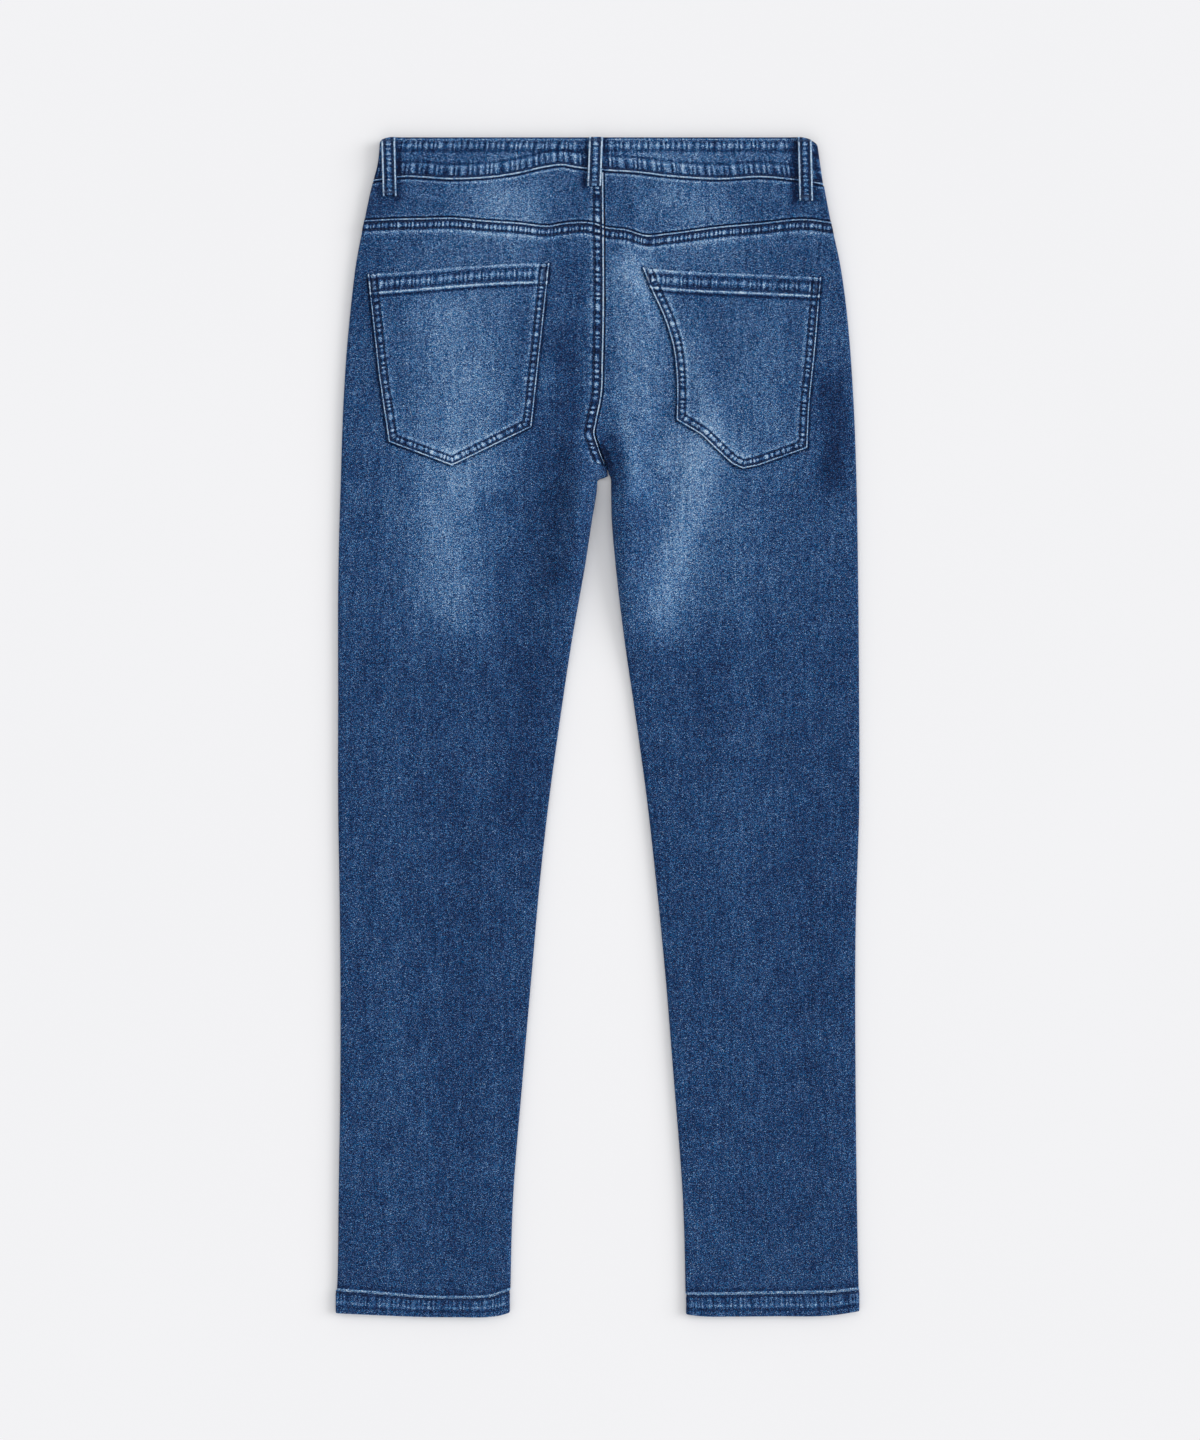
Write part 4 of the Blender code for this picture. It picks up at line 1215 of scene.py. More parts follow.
def band_front_line(x):
    """The waistband's lower edge across the front, which hangs lower at the centre."""
    side_down = np.where(x < 0, BAND_LINE["down"][0], BAND_LINE["down"][-1])
    return mix(BAND_FRONT_DIP + BAND_DEPTH, side_down, eased(0, BAND_FRONT_HALF, np.abs(x)))


print("the seat strip is", SEAM_WIDTH["seat"], "mm wide and stands", SEAM_RAISE, "mm high")

# %% [markdown]
# ### The yokes
#
# The yoke takes the place of a dart: its curved foot gives the seat its shape. It runs round to the side,
# where its edge lies behind the front panel.

# %% Yokes
YOKE_ROWS = 28
cloth = {}


def make_yoke(side):
    top, foot = line(BAND_LINE, SEAM_GAP), line(YOKE_LINE)
    rows = []
    for part in np.linspace(0, 1, YOKE_ROWS):
        rows.append(upper_row(side, between(top, foot, part), between(front_waist_line, foot, part)))
    middle = np.array(rows)
    x, down = plan_of(middle)
    seams = {
        "yoke": ((down - smooth(YOKE_LINE, "x", "down", x)) / SEAM_WIDTH["yoke"], x),
        "seat": seat_place(side, x, down),
        "band": ((smooth(BAND_LINE, "x", "down", x) - down) / SEAM_WIDTH["band"], x),
    }
    outer, inner = faces_of(middle, side, WALL, seat_raise(side, x, down))
    return make_shell(f"yoke_{edge_name(side)}_cloth", outer, inner, yoke_denim, fade_and_shade_at(x, down), seams)


for half in (-1, 1):
    cloth[f"yoke_{edge_name(half)}"] = make_yoke(half)

# %% [markdown]
# ### The back panels
#
# A back panel reaches from the yoke to the hem. Its rows lie close together at the seat, where the small
# shapes are, and further apart down the leg.

# %% Back panels
ROW_STOPS = 80.0, 98.0, 480.0, 1040.0
ROW_COUNTS = 16, 160, 160
YOKE_FOLD_ENDS = 0.92, 1.1


def make_back(side):
    top, foot = line(YOKE_LINE, SEAM_GAP), line(HEM_LINE, -SEAM_GAP)
    row_downs = np.interp(np.arange(sum(ROW_COUNTS) + 1), np.cumsum((0, *ROW_COUNTS)), ROW_STOPS)
    rows = []
    for part in (row_downs - ROW_STOPS[0]) / (ROW_STOPS[-1] - ROW_STOPS[0]):
        row_line = between(top, foot, part)
        rows.append(upper_row(side, row_line, row_line))
    middle = np.array(rows)
    x, down = plan_of(middle)
    yoke_across = (down - smooth(YOKE_LINE, "x", "down", x)) / SEAM_WIDTH["yoke"]
    away, round_pocket = near_path(pocket_paths[side], x, down)
    seams = {
        "yoke": (yoke_across, x),
        "seat": seat_place(side, x, down),
        # A dark line round the pocket, partly unwashed dye and partly painted shade.
        "outline": (-away / SEAM_WIDTH["pocket"], round_pocket),
        "hem": ((down - smooth(HEM_LINE, "x", "down", x)) / SEAM_WIDTH["hem"], x),
    }
    fell = SEAM_RAISE * (1 - eased(*YOKE_FOLD_ENDS, yoke_across)) + hump(yoke_across)
    fell = fell + puckers("yoke", yoke_across, x)
    on_top = np.clip((np.arange(middle.shape[1]) - TURNS / 2) / (TURNS / 2), 0, 1)
    raised = np.maximum(fell * on_top, seat_raise(side, x, down))
    outer, inner = faces_of(middle, side, WALL, raised)
    return make_shell(f"back_{edge_name(side)}_cloth", outer, inner, back_denim, fade_and_shade_at(x, down), seams)


for half in (-1, 1):
    cloth[f"back_{edge_name(half)}"] = make_back(half)

# %% [markdown]
# ## The front panels
#
# The fronts lie face down on the sheet, so they are nearly flat. Each has a scooped pocket mouth at its
# outer edge, filled by a facing, and its inner edge meets the back panel's lip. The left one carries the
# fly's stitching, which runs down beside the centre and curves in at its foot.

# %% Front panels and facings
MOUTH_WIDTH = 75.0
MOUTH_DOWN = 124.0
MOUTH_CORNER_X, MOUTH_CORNER_DOWN = 205, 42
SCOOP_PARTS, SCOOP_BELOW = 8, 20  # its sewn strip is an eighth as wide, and runs on below it
FLY_STRIP = 12
MOUTH_ROWS, LEG_ROWS = 36, 190
FRONT_COLUMNS, FACING_COLUMNS = 56, 24
CENTRE_BENDS = 150  # below this the centre front runs over to the crotch
FRONT_SHADE = -0.02
FRONT_CREASES = table(
    "x1 down1 bend_x bend_down x2 down2 height width",
    (-30, 300, -90, 322, -170, 310, 0.5, 8),
    (-26, 322, -80, 350, -160, 346, 0.4, 8),
    (34, 296, 96, 318, 176, 304, 0.5, 8),
    (30, 326, 86, 352, 150, 350, 0.4, 9),
    (-70, 560, -130, 572, -200, 560, 0.4, 12),
    (74, 600, 130, 612, 206, 596, 0.4, 12),
    (-120, 640, -140, 800, -136, 1000, 0.3, 16),
    (130, 640, 150, 800, 146, 1000, 0.3, 16),
)
FLY_TOP = (-36, 50)
FLY_BEND_X, FLY_BEND_DOWN, FLY_RADIUS = -37, 150, 36
fly_turn = np.radians(np.linspace(0, 80, 12))[1:]
fly_x = FLY_BEND_X + FLY_RADIUS * (1 - np.cos(fly_turn))
fly_down = FLY_BEND_DOWN + FLY_RADIUS * np.sin(fly_turn)
FLY_PATH = [FLY_TOP, (FLY_BEND_X, FLY_BEND_DOWN), *zip(fly_x, fly_down)]


def centre_front(down):
    """The line where the two front panels meet."""
    return CROTCH_X * eased(CENTRE_BENDS, CROTCH_DOWN, down)


def front_inner(side, down):
    """How far out the front panel's inner side lies."""
    middle = side * centre_front(down) + SEAM_GAP / 2
    upright = 1 - eased(DROP_END, CURL_END, down)
    curled = inner_edge(side, max(down, DROP_END))[-1, 0] + LIP_GAP + upright * WALL / 2
    return mix(middle, curled, eased(CROTCH_DOWN, TOE_END, down))


def front_outer(side, down):
    """How far out the lower layer reaches before it meets the back panel's lip."""
    return outer_edge(side, down)[0, 0] - LIP_GAP


def lower_row(side, row_line, low_out, high_out, columns):
    """One row of the lower layer, as its underside's x, down, z."""
    x = side * np.linspace(low_out, high_out, columns)
    down = row_line(x)
    return np.stack([x, down, ground(x, down) + soft_curves(FRONT_CREASES, x, down)], axis=1)


def lower_shell(name, side, rows):
    underside = np.array(rows)
    x, down = plan_of(underside)
    reach_down = (down - MOUTH_CORNER_DOWN) / (MOUTH_DOWN - MOUTH_CORNER_DOWN)
    reach = np.hypot((x * side - MOUTH_CORNER_X) / MOUTH_WIDTH, reach_down)
    scoop = np.where(down < MOUTH_DOWN + SCOOP_BELOW, (reach - 1) * SCOOP_PARTS, PAST_SEAM)
    fly, along_fly = near_path(FLY_PATH, x, down)
    seams = {"scoop": (scoop, down + x * side), "fly": (FIRST_ROW + fly / FLY_STRIP, along_fly)}
    fade = fade_and_shade_at(x, down, FRONT_SHADE)
    return make_shell(name, underside, underside + (0, 0, WALL), front_denim, fade, seams)


def make_front(side):
    name = edge_name(side)
    rows, facing = [], []
    for part in np.linspace(0, 1, MOUTH_ROWS):
        row_line = between(front_waist_line, level(MOUTH_DOWN), part)
        inner = front_inner(side, inner_down(side, row_line))
        end = front_outer(side, outer_down(side, row_line))
        curve_out = end - MOUTH_WIDTH * math.sqrt(1 - part**2)
        rows.append(lower_row(side, row_line, inner, curve_out, FRONT_COLUMNS))
        if part < 1:
            facing.append(lower_row(side, row_line, curve_out + SEAM_GAP, end, FACING_COLUMNS))
    for part in np.linspace(0, 1, LEG_ROWS)[1:]:
        row_line = between(level(MOUTH_DOWN), line(HEM_LINE, -SEAM_GAP), part)
        inner = front_inner(side, inner_down(side, row_line))
        outer = front_outer(side, outer_down(side, row_line))
        rows.append(lower_row(side, row_line, inner, outer, FRONT_COLUMNS))
    cloth[f"front_{name}"] = lower_shell(f"front_{name}_cloth", side, rows)
    cloth[f"front_pocket_{name}"] = lower_shell(f"front_pocket_{name}_cloth", side, facing)


for half in (-1, 1):
    make_front(half)

# %% [markdown]
# ## The waistband
#
# The waistband is one straight strip, folded double and sewn on round the top, with its ends overlapped
# at the button. It is puckered along both edges, where the thread and the folded layers shrink
# differently.

# %% Waistband
BAND_WALL = 1.6
BAND_BACK_HEIGHT = 6.9
BAND_SIDE_DOWN = 40.5
BAND_OUTER_END = 22.0
BAND_INNER_END = -14.0
LAP_STARTS, LAP_FULL = 62, 27  # between these the inner end rises over the outer one
BAND_ROWS = 32
OUTER_STATIONS, BACK_STATIONS, LAP_STATIONS = 110, 280, 120
BAND_PUCKERS = 0.4  # the band's puckers are flatter than those of a felled seam
TOP_ALONG = 40


def band_path():
    """The band's middle line from its outer end round the left side, back and right: x, z, over."""
    low, high = BAND_UNDERSIDE + BAND_WALL / 2, BAND_BACK_HEIGHT
    stations = [(BAND_OUTER_END, low, 0.0)]
    for side in (-1, 1):
        edge = outline(side, BAND_SIDE_DOWN) - BAND_WALL / 2
        fold = turn(edge, low, high, 1, -90, 90)
        over = np.linspace(0, 1, len(fold))
        turned = [(side * out, z, part) for (out, z), part in zip(fold, over)]
        start = stations[-1][0]
        if side < 0:
            stations += [(x, low, 0.0) for x in np.linspace(start, turned[0][0], OUTER_STATIONS)[1:-1]]
            stations += turned
        else:
            stations += [(x, high, 1.0) for x in np.linspace(start, turned[-1][0], BACK_STATIONS)[1:-1]]
            stations += turned[::-1]
    lifted = low + BAND_WALL + SEAM_GAP
    for x in np.linspace(stations[-1][0], BAND_INNER_END, LAP_STATIONS)[1:]:
        stations.append((x, mix(low, lifted, 1 - eased(LAP_FULL, LAP_STARTS, x)), 0.0))
    return np.array(stations)


def make_waistband():
    x, z, over = band_path().T
    lower_edge = mix(band_front_line(x), smooth(BAND_LINE, "x", "down", x), over)
    left_top, right_top = (outline(side, 0) / outline(side, BAND_SIDE_DOWN) for side in (-1, 1))
    top_reach = np.where(x < 0, left_top, right_top)
    upper_edge = band_front_top(x) * (1 - over) + band_corner(x * top_reach)
    rows = []
    for part in np.linspace(0, 1, BAND_ROWS):
        down = mix(upper_edge, lower_edge, part)
        left_reach = outline(-1, down) / outline(-1, lower_edge)
        right_reach = outline(1, down) / outline(1, lower_edge)
        rows.append(np.stack([x * np.where(x < 0, left_reach, right_reach), down, z], axis=1))
    middle = np.array(rows)
    run = np.gradient(middle[:, :, [0, 2]], axis=1)
    run /= np.linalg.norm(run, axis=2, keepdims=True)
    normal = np.stack([-run[:, :, 1], 0 * run[:, :, 0], run[:, :, 0]], axis=2)
    down = middle[:, :, 1]
    walked = np.concatenate([[0], np.cumsum(np.hypot(np.diff(x), np.diff(z)))])
    along = np.broadcast_to(walked, down.shape)
    foot, top = (lower_edge - down) / SEAM_WIDTH["band"], (down - upper_edge) / SEAM_WIDTH["top"]
    relief = BAND_PUCKERS * puckers("band", foot, along) + BAND_PUCKERS * puckers("top", top, along)
    relief -= 0.2 * bump(foot, 0.25, GROOVE_WIDTH)  # the row of stitches
    relief -= 0.5 * bump(foot, 0, 0.05) + 0.4 * bump(top, 0, 0.05)  # both edges are rounded
    outer = middle + normal * (BAND_WALL / 2 + relief)[:, :, None]
    inner = middle - normal * BAND_WALL / 2
    seams = {"band": (foot, along), "top": (top, along + TOP_ALONG)}
    return make_shell("waistband_cloth", outer, inner, band_denim, fade_and_shade_at(middle[:, :, 0], down), seams)


cloth["waistband"] = make_waistband()

# %% [markdown]
# ## The back pockets
#
# A patch pocket is a shield of denim with a hemmed mouth, sewn on with two rows of stitches round its
# sides and foot. It lies on the back panel, so its height is the panel's own height, moved up.

# %% Back pockets
POCKET_WALL = 1.0
MOUTH_RAISE, MOUTH_FOLD_ENDS = 0.6, (0.97, 1.08)
EDGE_RAISE, EDGE_FOLD_ENDS = 0.3, (0.9, 1.2)
EDGE_PUCKERS, MOUTH_PUCKERS = 1.3, 0.8
ROUND_MM, ROUND_WITHIN = 0.4, 1.4
TIP_X, TIP_DOWN, TIP_WORN = 131, 286, 0.1


def make_pocket(side):
    x, down = pocket_grid(side)
    away, along = near_path(pocket_paths[side], x, down)
    below_mouth = down - smooth(POCKET_MOUTH_LINE, "x", "down", x)
    edge, mouth = away / SEAM_WIDTH["pocket"], below_mouth / SEAM_WIDTH["mouth"]
    mouth_raise = MOUTH_RAISE * (1 - eased(*MOUTH_FOLD_ENDS, mouth))
    sewn = np.maximum(mouth_raise, EDGE_RAISE * (1 - eased(*EDGE_FOLD_ENDS, edge)))
    relief = hump(edge) + EDGE_PUCKERS * puckers("pocket", edge, along)
    relief = relief + MOUTH_PUCKERS * puckers("mouth", mouth, x)
    rounded = ROUND_MM * (1 - eased(0, ROUND_WITHIN, np.minimum(away, below_mouth)))
    underside = np.stack([x, down, crown(x, down) + SEAM_GAP], axis=2)
    top = underside + (POCKET_WALL + sewn + relief - rounded)[:, :, None] * (0, 0, 1)
    tip = bump(x, side * TIP_X, 9) * bump(down, TIP_DOWN, 7)
    fade = fade_and_shade_at(x, down) + TIP_WORN * tip
    seams = {"pocket": (edge, along), "mouth": (mouth, x)}
    return make_shell(f"back_pocket_{edge_name(side)}_cloth", top, underside, pocket_denim, fade, seams)


for half in (-1, 1):
    cloth[f"back_pocket_{edge_name(half)}"] = make_pocket(half)

# %% [markdown]
# ## Belt loops and hems
#
# A belt loop is a strip folded in three and sewn along both sides. It bows over the waistband and is
# tacked at both ends. A hem is the leg's end turned up twice, so it is thicker than the leg and roped
# like the band.

# %% Loops and hems
LOOP_WIDTH = 12.6
LOOP_WALL, LOOP_THINS = 1.8, 0.3  # a loop is thinner at its folded sides, by this share
LOOP_BOW = 1.0
LOOP_PALER = 0.01
LOOP_ROWS, LOOP_COLUMNS = 44, 17
HEM_WALL = 2.2
HEM_TOP = 5.7
HEM_ROWS, HEM_TOP_COLUMNS, HEM_UNDER_COLUMNS = 20, 120, 60
HEM_PUCKERS = 0.8


def make_loop(name, ends, lift, below=False):
    """A loop from the band's top edge to just past its lower edge. lift holds its underside's heights."""
    (top_x, top), (foot_x, foot) = ends
    part = np.linspace(0, 1, LOOP_ROWS)[:, None]
    across = np.linspace(0, 1, LOOP_COLUMNS)[None, :]
    x = mix(top_x, foot_x, part) + LOOP_WIDTH * (across - 0.5)
    down = mix(top + band_corner(x), foot, part)
    low = smooth(lift, "part", "z", part) + 0 * across
    edge = LOOP_WIDTH * np.minimum(across, 1 - across) / SEAM_WIDTH["loop"] + 0 * part
    thick = LOOP_WALL * (1 - LOOP_THINS * np.abs(2 * across - 1) ** 4) + 0 * part
    relief = hump(edge) + puckers("loop", edge, down)
    under = np.stack([x, down, low], axis=2)
    face = under + (thick + (0 if below else relief))[:, :, None] * (0, 0, 1)
    fade = fade_and_shade_at(x, down) + LOOP_PALER
    return make_shell(f"{name}_cloth", face, under, loop_denim, fade, {"loop": (edge, down)})


def loop_ends(name):
    """The middle of a loop across, its top and its foot, from its solid's box."""
    low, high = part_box(name)
    return (low.x + high.x) / 2 / MM, LENGTH / 2 - high.y / MM, LENGTH / 2 - low.y / MM


# The ends of each loop on the back, and how much higher its foot lies.
back_loops = {
    "loop_back_left": ((-188.4, 0), (-187.0, 53), 0.0),
    "loop_back": ((-1.3, 0), (-3.0, 44), 0.6),
    "loop_back_right": ((186.4, 0), (187.8, 57), 0.0),
}
rest = BAND_BACK_HEIGHT + BAND_WALL / 2 + SEAM_GAP
for loop_name, (top_end, foot_end, rise) in back_loops.items():
    bow = table("part z", (0, rest), (0.4, rest + LOOP_BOW), (0.7, rest + 0.2 + rise), (1, rest + rise))
    cloth[loop_name] = make_loop(loop_name, (top_end, foot_end), bow)
for half in (-1, 1):
    loop_name = f"loop_front_{edge_name(half)}"
    middle_x, top, foot = loop_ends(loop_name)
    flat = table("part z", (0, 0), (1, 0))
    cloth[loop_name] = make_loop(loop_name, ((middle_x, top), (middle_x, foot)), flat, below=True)


def make_hem(side):
    """The turned leg end: a thick ring of cloth, pressed flat."""
    low, high = HEM_WALL / 2, HEM_TOP - HEM_WALL / 2
    outer_fold = turn(outline(side, LENGTH) - HEM_WALL / 2, low, high, 1, -90, 90)
    inner_fold = turn(inseam(side, LENGTH) + HEM_WALL / 2, low, high, -1, 90, -90)
    top = np.linspace(outer_fold[-1], inner_fold[0], HEM_TOP_COLUMNS)[1:-1]
    under = np.linspace(inner_fold[-1], outer_fold[0], HEM_UNDER_COLUMNS)[1:-1]
    path = np.concatenate([outer_fold, top, inner_fold, under])
    run = np.roll(path, -1, axis=0) - np.roll(path, 1, axis=0)
    run /= np.linalg.norm(run, axis=1, keepdims=True)
    normal = np.stack([run[:, 1], -run[:, 0]], axis=1)
    along = np.cumsum(np.hypot(*(path - np.roll(path, 1, axis=0)).T))
    parts = np.linspace(0, 1, HEM_ROWS)[:, None]
    relief = HEM_PUCKERS * puckers("hem", parts, along) - 0.35 * bump(parts, 0.1, 0.05)
    relief -= 0.3 * bump(parts, 0, 0.04)
    # The underside is pressed smooth.
    relief = relief * (path[:, 1] > low + 0.1) - 0.3 * bump(parts, 1, 0.04)
    shells = []
    for reach in (HEM_WALL / 2 + relief, -HEM_WALL / 2 + 0 * relief):
        face = path[None] + normal[None] * reach[:, :, None]
        x = side * face[:, :, 0]
        down = mix(smooth(HEM_LINE, "x", "down", x), smooth(LEG_END_LINE, "x", "down", x), parts)
        shells.append(np.stack([x, down, face[:, :, 1]], axis=2))
    outer, inner = shells
    x, down = plan_of(outer)
    name, seams = f"hem_{edge_name(side)}_cloth", {"hem": (parts, along)}
    return make_shell(name, outer, inner, hem_denim, fade_and_shade_at(x, down), seams, ring=True)


for half in (-1, 1):
    cloth[f"hem_{edge_name(half)}"] = make_hem(half)

# %% [markdown]
# ## Stitches
#
# Each stitch is a short, slightly sunk bead of thread. One bead is modelled from a sphere and then
# repeated along every seam, dropped onto the cloth by a ray from above (or, for the front, from below).
# The stitches of each piece are joined into one mesh.

# %% One stitch, and rows of them
STITCH_MM = 2.5
STITCH_PITCH = 3.3
THREAD_MM = 0.5
STITCH_LIFT = 0.08
RAY_STARTS = 40

bpy.ops.object.select_all(action="DESELECT")
bpy.ops.mesh.primitive_uv_sphere_add(segments=6, ring_count=4, radius=1.0)
pattern = bpy.context.object
bead = np.array([vertex.co[:] for vertex in pattern.data.vertices])
bead = bead[:, [2, 0, 1]] * (STITCH_MM / 2, THREAD_MM / 2, THREAD_MM / 2)
bead_faces = [list(face.vertices) for face in pattern.data.polygons]
bpy.data.objects.remove(pattern, do_unlink=True)


def tree_of(nodes):
    """A search tree over the faces of some cloth, for dropping things onto it."""
    points, faces = [], []
    for node in nodes:
        piece = cloth[node]
        start = len(points)
        points += [vertex.co.copy() for vertex in piece.data.vertices]
        faces += [[start + corner for corner in face.vertices] for face in piece.data.polygons]
    return BVHTree.FromPolygons(points, faces)


def evenly(path, pitch):
    """Places at an even pitch along a path of plan places, with the direction at each."""
    path = np.array(path, float)
    steps = np.hypot(*np.diff(path, axis=0).T)
    walked = np.concatenate([[0], np.cumsum(steps)])
    stops = np.arange(pitch / 2, walked[-1], pitch)
    places = np.stack([np.interp(stops, walked, values) for values in path.T], axis=1)
    index = np.clip(np.searchsorted(walked, stops) - 1, 0, len(steps) - 1)
    return places, np.diff(path, axis=0)[index] / steps[index][:, None]


def stitches(name, rows, nodes, below=False, pitch=STITCH_PITCH):
    """One mesh of stitches along some rows, on the cloth of some nodes. The first node carries it."""
    points, faces = [], []
    surface = tree_of(nodes)
    towards = 1 if below else -1
    ray = Vector((0, 0, towards))
    for path in rows:
        for (x, down), (run_x, run_down) in zip(*evenly(path, pitch)):
            hit, normal, _, _ = surface.ray_cast(place(x, down, -towards * RAY_STARTS), ray)
            if hit is None:
                continue
            up = -normal if normal.dot(ray) > 0 else normal
            forward = Vector((run_x, -run_down, 0))
            forward = (forward - up * forward.dot(up)).normalized()
            aside = up.cross(forward)
            start = len(points)
            for a, b, c in bead:
                points.append(hit + (forward * a + aside * b + up * (c + STITCH_LIFT)) * MM)
            faces += [[start + corner for corner in face] for face in bead_faces]
    mesh = bpy.data.meshes.new(name)
    mesh.from_pydata(points, [], faces)
    piece = bpy.data.objects.new(name, mesh)
    bpy.context.scene.collection.objects.link(piece)
    turn_outwards(piece)
    mesh.materials.append(thread)
    sewing[nodes[0]] = sewing.get(nodes[0], []) + [piece]
    print(name, len(faces) // len(bead_faces), "stitches")


def inset(path, distance):
    """A path moved sideways by a distance, with mitred corners. Positive moves to its left as drawn."""
    path = np.array(path, float)
    run = np.diff(path, axis=0)
    run /= np.hypot(*run.T)[:, None]
    side = np.stack([run[:, 1], -run[:, 0]], axis=1)
    first, last = side[:1], side[-1:]
    before, after = np.concatenate([first, side]), np.concatenate([side, last])
    joint = before + after
    joint /= (1 + (before * after).sum(axis=1))[:, None]
    return path + joint * distance


def run_along(curve, first, last, steps=60):
    """Plan places along a curve that gives down for x."""
    x = np.linspace(first, last, steps)
    return np.stack([x, curve(x)], axis=1)


sewing = {}
print("one stitch has", len(bead_faces), "faces")

# %% [markdown]
# ### Stitches that show
#
# Two rows hold down each folded seam, each pocket's edge and each loop. The waistband has one row along
# each edge, and a pocket's mouth and a hem have one row each.

# %% Stitches on the back
# Each row's distance in mm from the edge that it holds down, or from a loop's middle.
YOKE_ASIDE, SEAT_ASIDE = (3.6, 9.6), (3.5, 9.1)
BAND_TOP_ASIDE, BAND_FOOT_ASIDE = 4.0, 3.6
POCKET_ASIDE, MOUTH_ASIDE = (3.0, 8.0), 14.8
HEM_ASIDE, LOOP_ASIDE = 2.0, (-3.5, 3.5)
YOKE_ENDS = (-208, -7), (7, 208)
SEAT_ENDS = 34, 292
MOUTH_END_IN = 9


def hem_row(side, end_in):
    """The row of stitches along a hem, to within end_in of the leg's sides."""
    ends = side * (inseam(side, LENGTH) + end_in), side * (outline(side, LENGTH) - end_in)
    return run_along(line(HEM_LINE, HEM_ASIDE), *ends)


def loop_rows(top_end, foot_end):
    """The two rows of stitches along a loop."""
    return [np.array([top_end, foot_end]) + [(aside, 1), (aside, -1)] for aside in LOOP_ASIDE]


fell_rows = []
for aside in YOKE_ASIDE:
    fell_rows += [run_along(line(YOKE_LINE, aside), *ends) for ends in YOKE_ENDS]
seat_down = np.linspace(*SEAT_ENDS, 70)
fell_rows += [np.stack([seat_seam(seat_down) - aside, seat_down], axis=1) for aside in SEAT_ASIDE]
stitches("stitches_seams", fell_rows, ["back_left", "back_right", "yoke_left", "yoke_right"])
band_rows = [run_along(level(BAND_TOP_ASIDE), -192, 192, 4)]
band_rows.append(run_along(line(BAND_LINE, -BAND_FOOT_ASIDE), -200, 200, 120))
stitches("stitches_waistband", band_rows, ["waistband"])
for half in (-1, 1):
    edge = edge_name(half)
    rows = [inset(pocket_paths[half], distance * -half)[1:-1] for distance in POCKET_ASIDE]
    outer_end, inner_end = (POCKET_SIDES[half][column][0] for column in ("outer", "inner"))
    mouth_ends = half * (outer_end - MOUTH_END_IN), half * (inner_end + MOUTH_END_IN)
    rows.append(run_along(line(POCKET_MOUTH_LINE, MOUTH_ASIDE), *mouth_ends))
    stitches(f"stitches_pocket_{edge}", rows, [f"back_pocket_{edge}"])
    stitches(f"stitches_hem_{edge}", [hem_row(half, 2)], [f"hem_{edge}"])
for node, (top_end, foot_end, _) in back_loops.items():
    stitches(f"stitches_{node}", loop_rows(top_end, foot_end), [node])

# %% [markdown]
# ### Stitches on the side that lies down
#
# The same sewing goes on round the front: two rows beside each scooped pocket mouth, the fly's two rows,
# both edges of the waistband, the hems and the front loops. It is dropped onto the cloth from below.

# %% Stitches on the front
SCOOP_ASIDE, FLY_ASIDE = (2.5, 8.0), 5.5
SCOOP_TOP_X = 170.0


def mouth_row(side, aside):
    """Plan places on the front panel, beside the scooped mouth of its pocket."""
    part = np.linspace(0.05, 0.98, 40)
    down = mix(band_front_line(side * SCOOP_TOP_X) + 1, MOUTH_DOWN + aside, part)
    reach = (MOUTH_WIDTH + aside) * np.sqrt(1 - part**2)
    ends = np.array([front_outer(side, float(value)) for value in down])
    return np.stack([side * (ends - reach), down], axis=1)


for half in (-1, 1):
    edge = edge_name(half)
    rows = [mouth_row(half, aside) for aside in SCOOP_ASIDE]
    if half < 0:
        rows += [np.array(FLY_PATH), inset(FLY_PATH, FLY_ASIDE)]
    stitches(f"stitches_front_{edge}", rows, [f"front_{edge}"], below=True)
    stitches(f"stitches_hem_{edge}_under", [hem_row(half, 4)], [f"hem_{edge}"], below=True)
    node = f"loop_front_{edge}"
    middle_x, top, foot = loop_ends(node)
    stitches(f"stitches_{node}", loop_rows((middle_x, top), (middle_x, foot)), [node], below=True)

front_rows = [run_along(lambda x: band_front_top(x) + BAND_TOP_ASIDE, -188, 188)]
front_rows.append(run_along(lambda x: band_front_line(x) - BAND_FOOT_ASIDE, -192, 192))
stitches("stitches_waistband_front", front_rows, ["waistband"], below=True)

# %% [markdown]
# ## Bar tacks
#
# Where a seam takes the strain, at the corners of the pockets and the ends of the loops, the machine sews
# back and forth over one spot. The tack is a short bar of stitches that lie side by side.

# %% Bar tacks
TACK_PITCH = 0.75
TACK_WIDTH = 2.4
POCKET_TACK, POCKET_TACK_IN, POCKET_TACK_DOWN = 13, 5.5, 8.5
LOOP_TACK, LOOP_FOOT_IN, LOOP_TOP_IN = 11, 3.2, 2.6


def tack_rows(x, down, run_x, run_down, length):
    """Cross stitches side by side along a short bar that is centred on a plan place."""
    rows = []
    for step in np.arange(-length / 2, length / 2, TACK_PITCH):
        middle = np.array([x + run_x * step, down + run_down * step])
        aside = np.array([-run_down, run_x]) * TACK_WIDTH / 2
        rows.append(np.array([middle - aside, middle + aside]))
    return rows


for half in (-1, 1):
    edge = edge_name(half)
    rows = []
    for column in ("outer", "inner"):
        towards = -1 if column == "outer" else 1
        x = half * (POCKET_SIDES[half][column][0] + towards * POCKET_TACK_IN)
        down = float(smooth(POCKET_MOUTH_LINE, "x", "down", x))
        rows += tack_rows(x, down + POCKET_TACK_DOWN, 0, 1, POCKET_TACK)
    stitches(f"tacks_pocket_{edge}", rows, [f"back_pocket_{edge}"], pitch=TACK_WIDTH)
for node, ((top_x, top), (foot_x, foot), _) in back_loops.items():
    rows = tack_rows(foot_x, foot - LOOP_FOOT_IN, 1, 0, LOOP_TACK)
    rows += tack_rows(top_x, top + LOOP_TOP_IN + band_corner(top_x), 1, 0, LOOP_TACK)
    stitches(f"tacks_{node}", rows, [node], pitch=TACK_WIDTH)

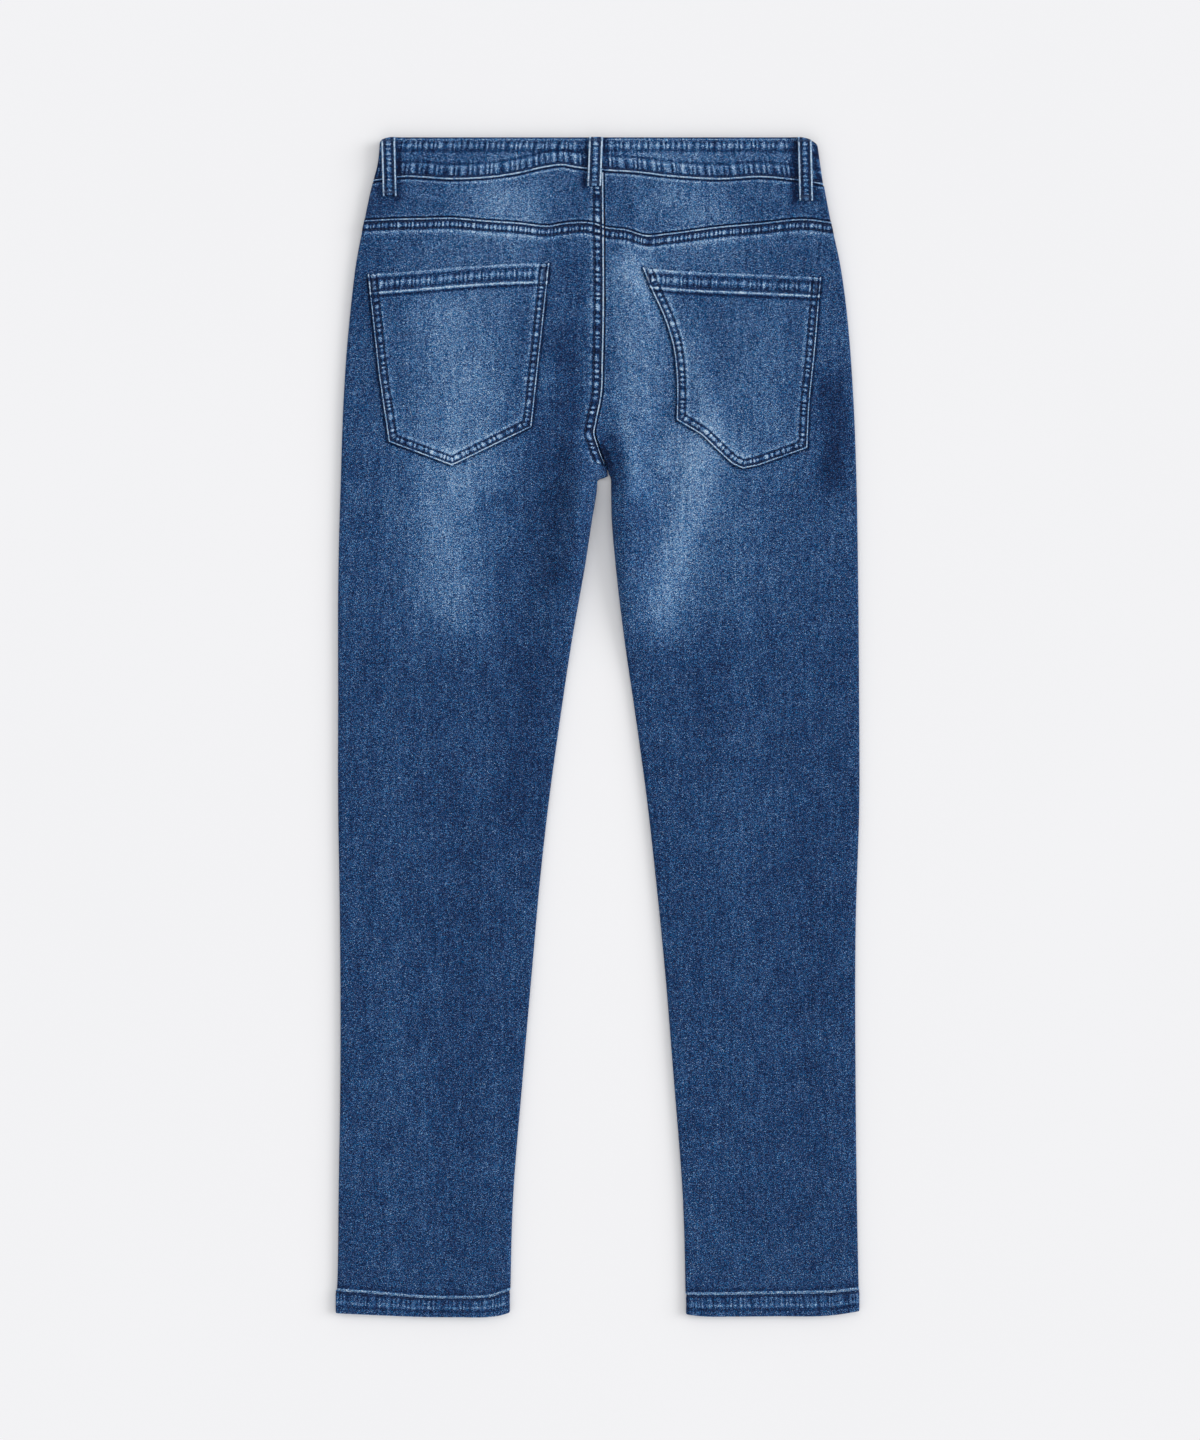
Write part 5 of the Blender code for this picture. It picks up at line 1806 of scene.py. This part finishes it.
# %% [markdown]
# ## The button and the zip
#
# The button is a stamped brass cap with a raised rim, and it lies face down under the front. The zip is
# closed behind the fly, and nothing of it shows.

# %% Button and zip
BUTTON_SIDES = 48
BUTTON_RINGS = (1.6, 0.0), (0.6, -0.6), (2.6, 0.1), (0.5, 0.35)  # each ring's width and its step out, in mm
RIM_MM, RIM_STEPS = 0.3, 3
CAP_ROUNDED_DEGREES = 40

button_low, button_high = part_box("waist_button")
button_centre = (button_low + button_high) / 2
button_radius = (button_high.x - button_low.x) / 2
button_height = button_high.z - button_low.z
bpy.ops.object.select_all(action="DESELECT")
bpy.ops.mesh.primitive_cylinder_add(
    vertices=BUTTON_SIDES, radius=button_radius, depth=button_height, location=button_centre
)
button = bpy.context.object
button.name = "waist_button_metal"
bpy.ops.object.transform_apply(location=True, rotation=True, scale=True)
bpy.ops.object.mode_set(mode="EDIT")
bpy.ops.mesh.select_all(action="DESELECT")
bpy.ops.object.mode_set(mode="OBJECT")
for face in button.data.polygons:
    face.select = face.normal.z < -0.9  # the cap's face, which looks down
bpy.ops.object.mode_set(mode="EDIT")
for ring_width, ring_depth in BUTTON_RINGS:
    bpy.ops.mesh.inset(thickness=ring_width * MM, depth=ring_depth * MM)
bpy.ops.object.mode_set(mode="OBJECT")
rim = button.modifiers.new("rounded rim", "BEVEL")
rim.width = RIM_MM * MM
rim.segments = RIM_STEPS
rim.limit_method = "ANGLE"
bpy.ops.object.modifier_apply(modifier=rim.name)
bpy.ops.object.shade_smooth_by_angle(angle=math.radians(CAP_ROUNDED_DEGREES))
button.data.materials.append(brass)
print("button", round(button_radius * 2 / MM, 1), "mm across")

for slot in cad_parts["fly_zip"].material_slots:
    slot.material = brass

# %% [markdown]
# ## Riding and finishing
#
# Every piece rides on the one body of the part. A piece of cloth stands for its solid, which is hidden,
# and the sewing that it carries rides on the same body.

# %% Finish
for node, piece in cloth.items():
    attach(piece, "root")
    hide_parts(node)
    carried = sewing.get(node, [])
    for row in carried:
        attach(row, "root")
    if node == "waistband":
        carried = carried + [button]
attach(button, "root")
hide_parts("waist_button")
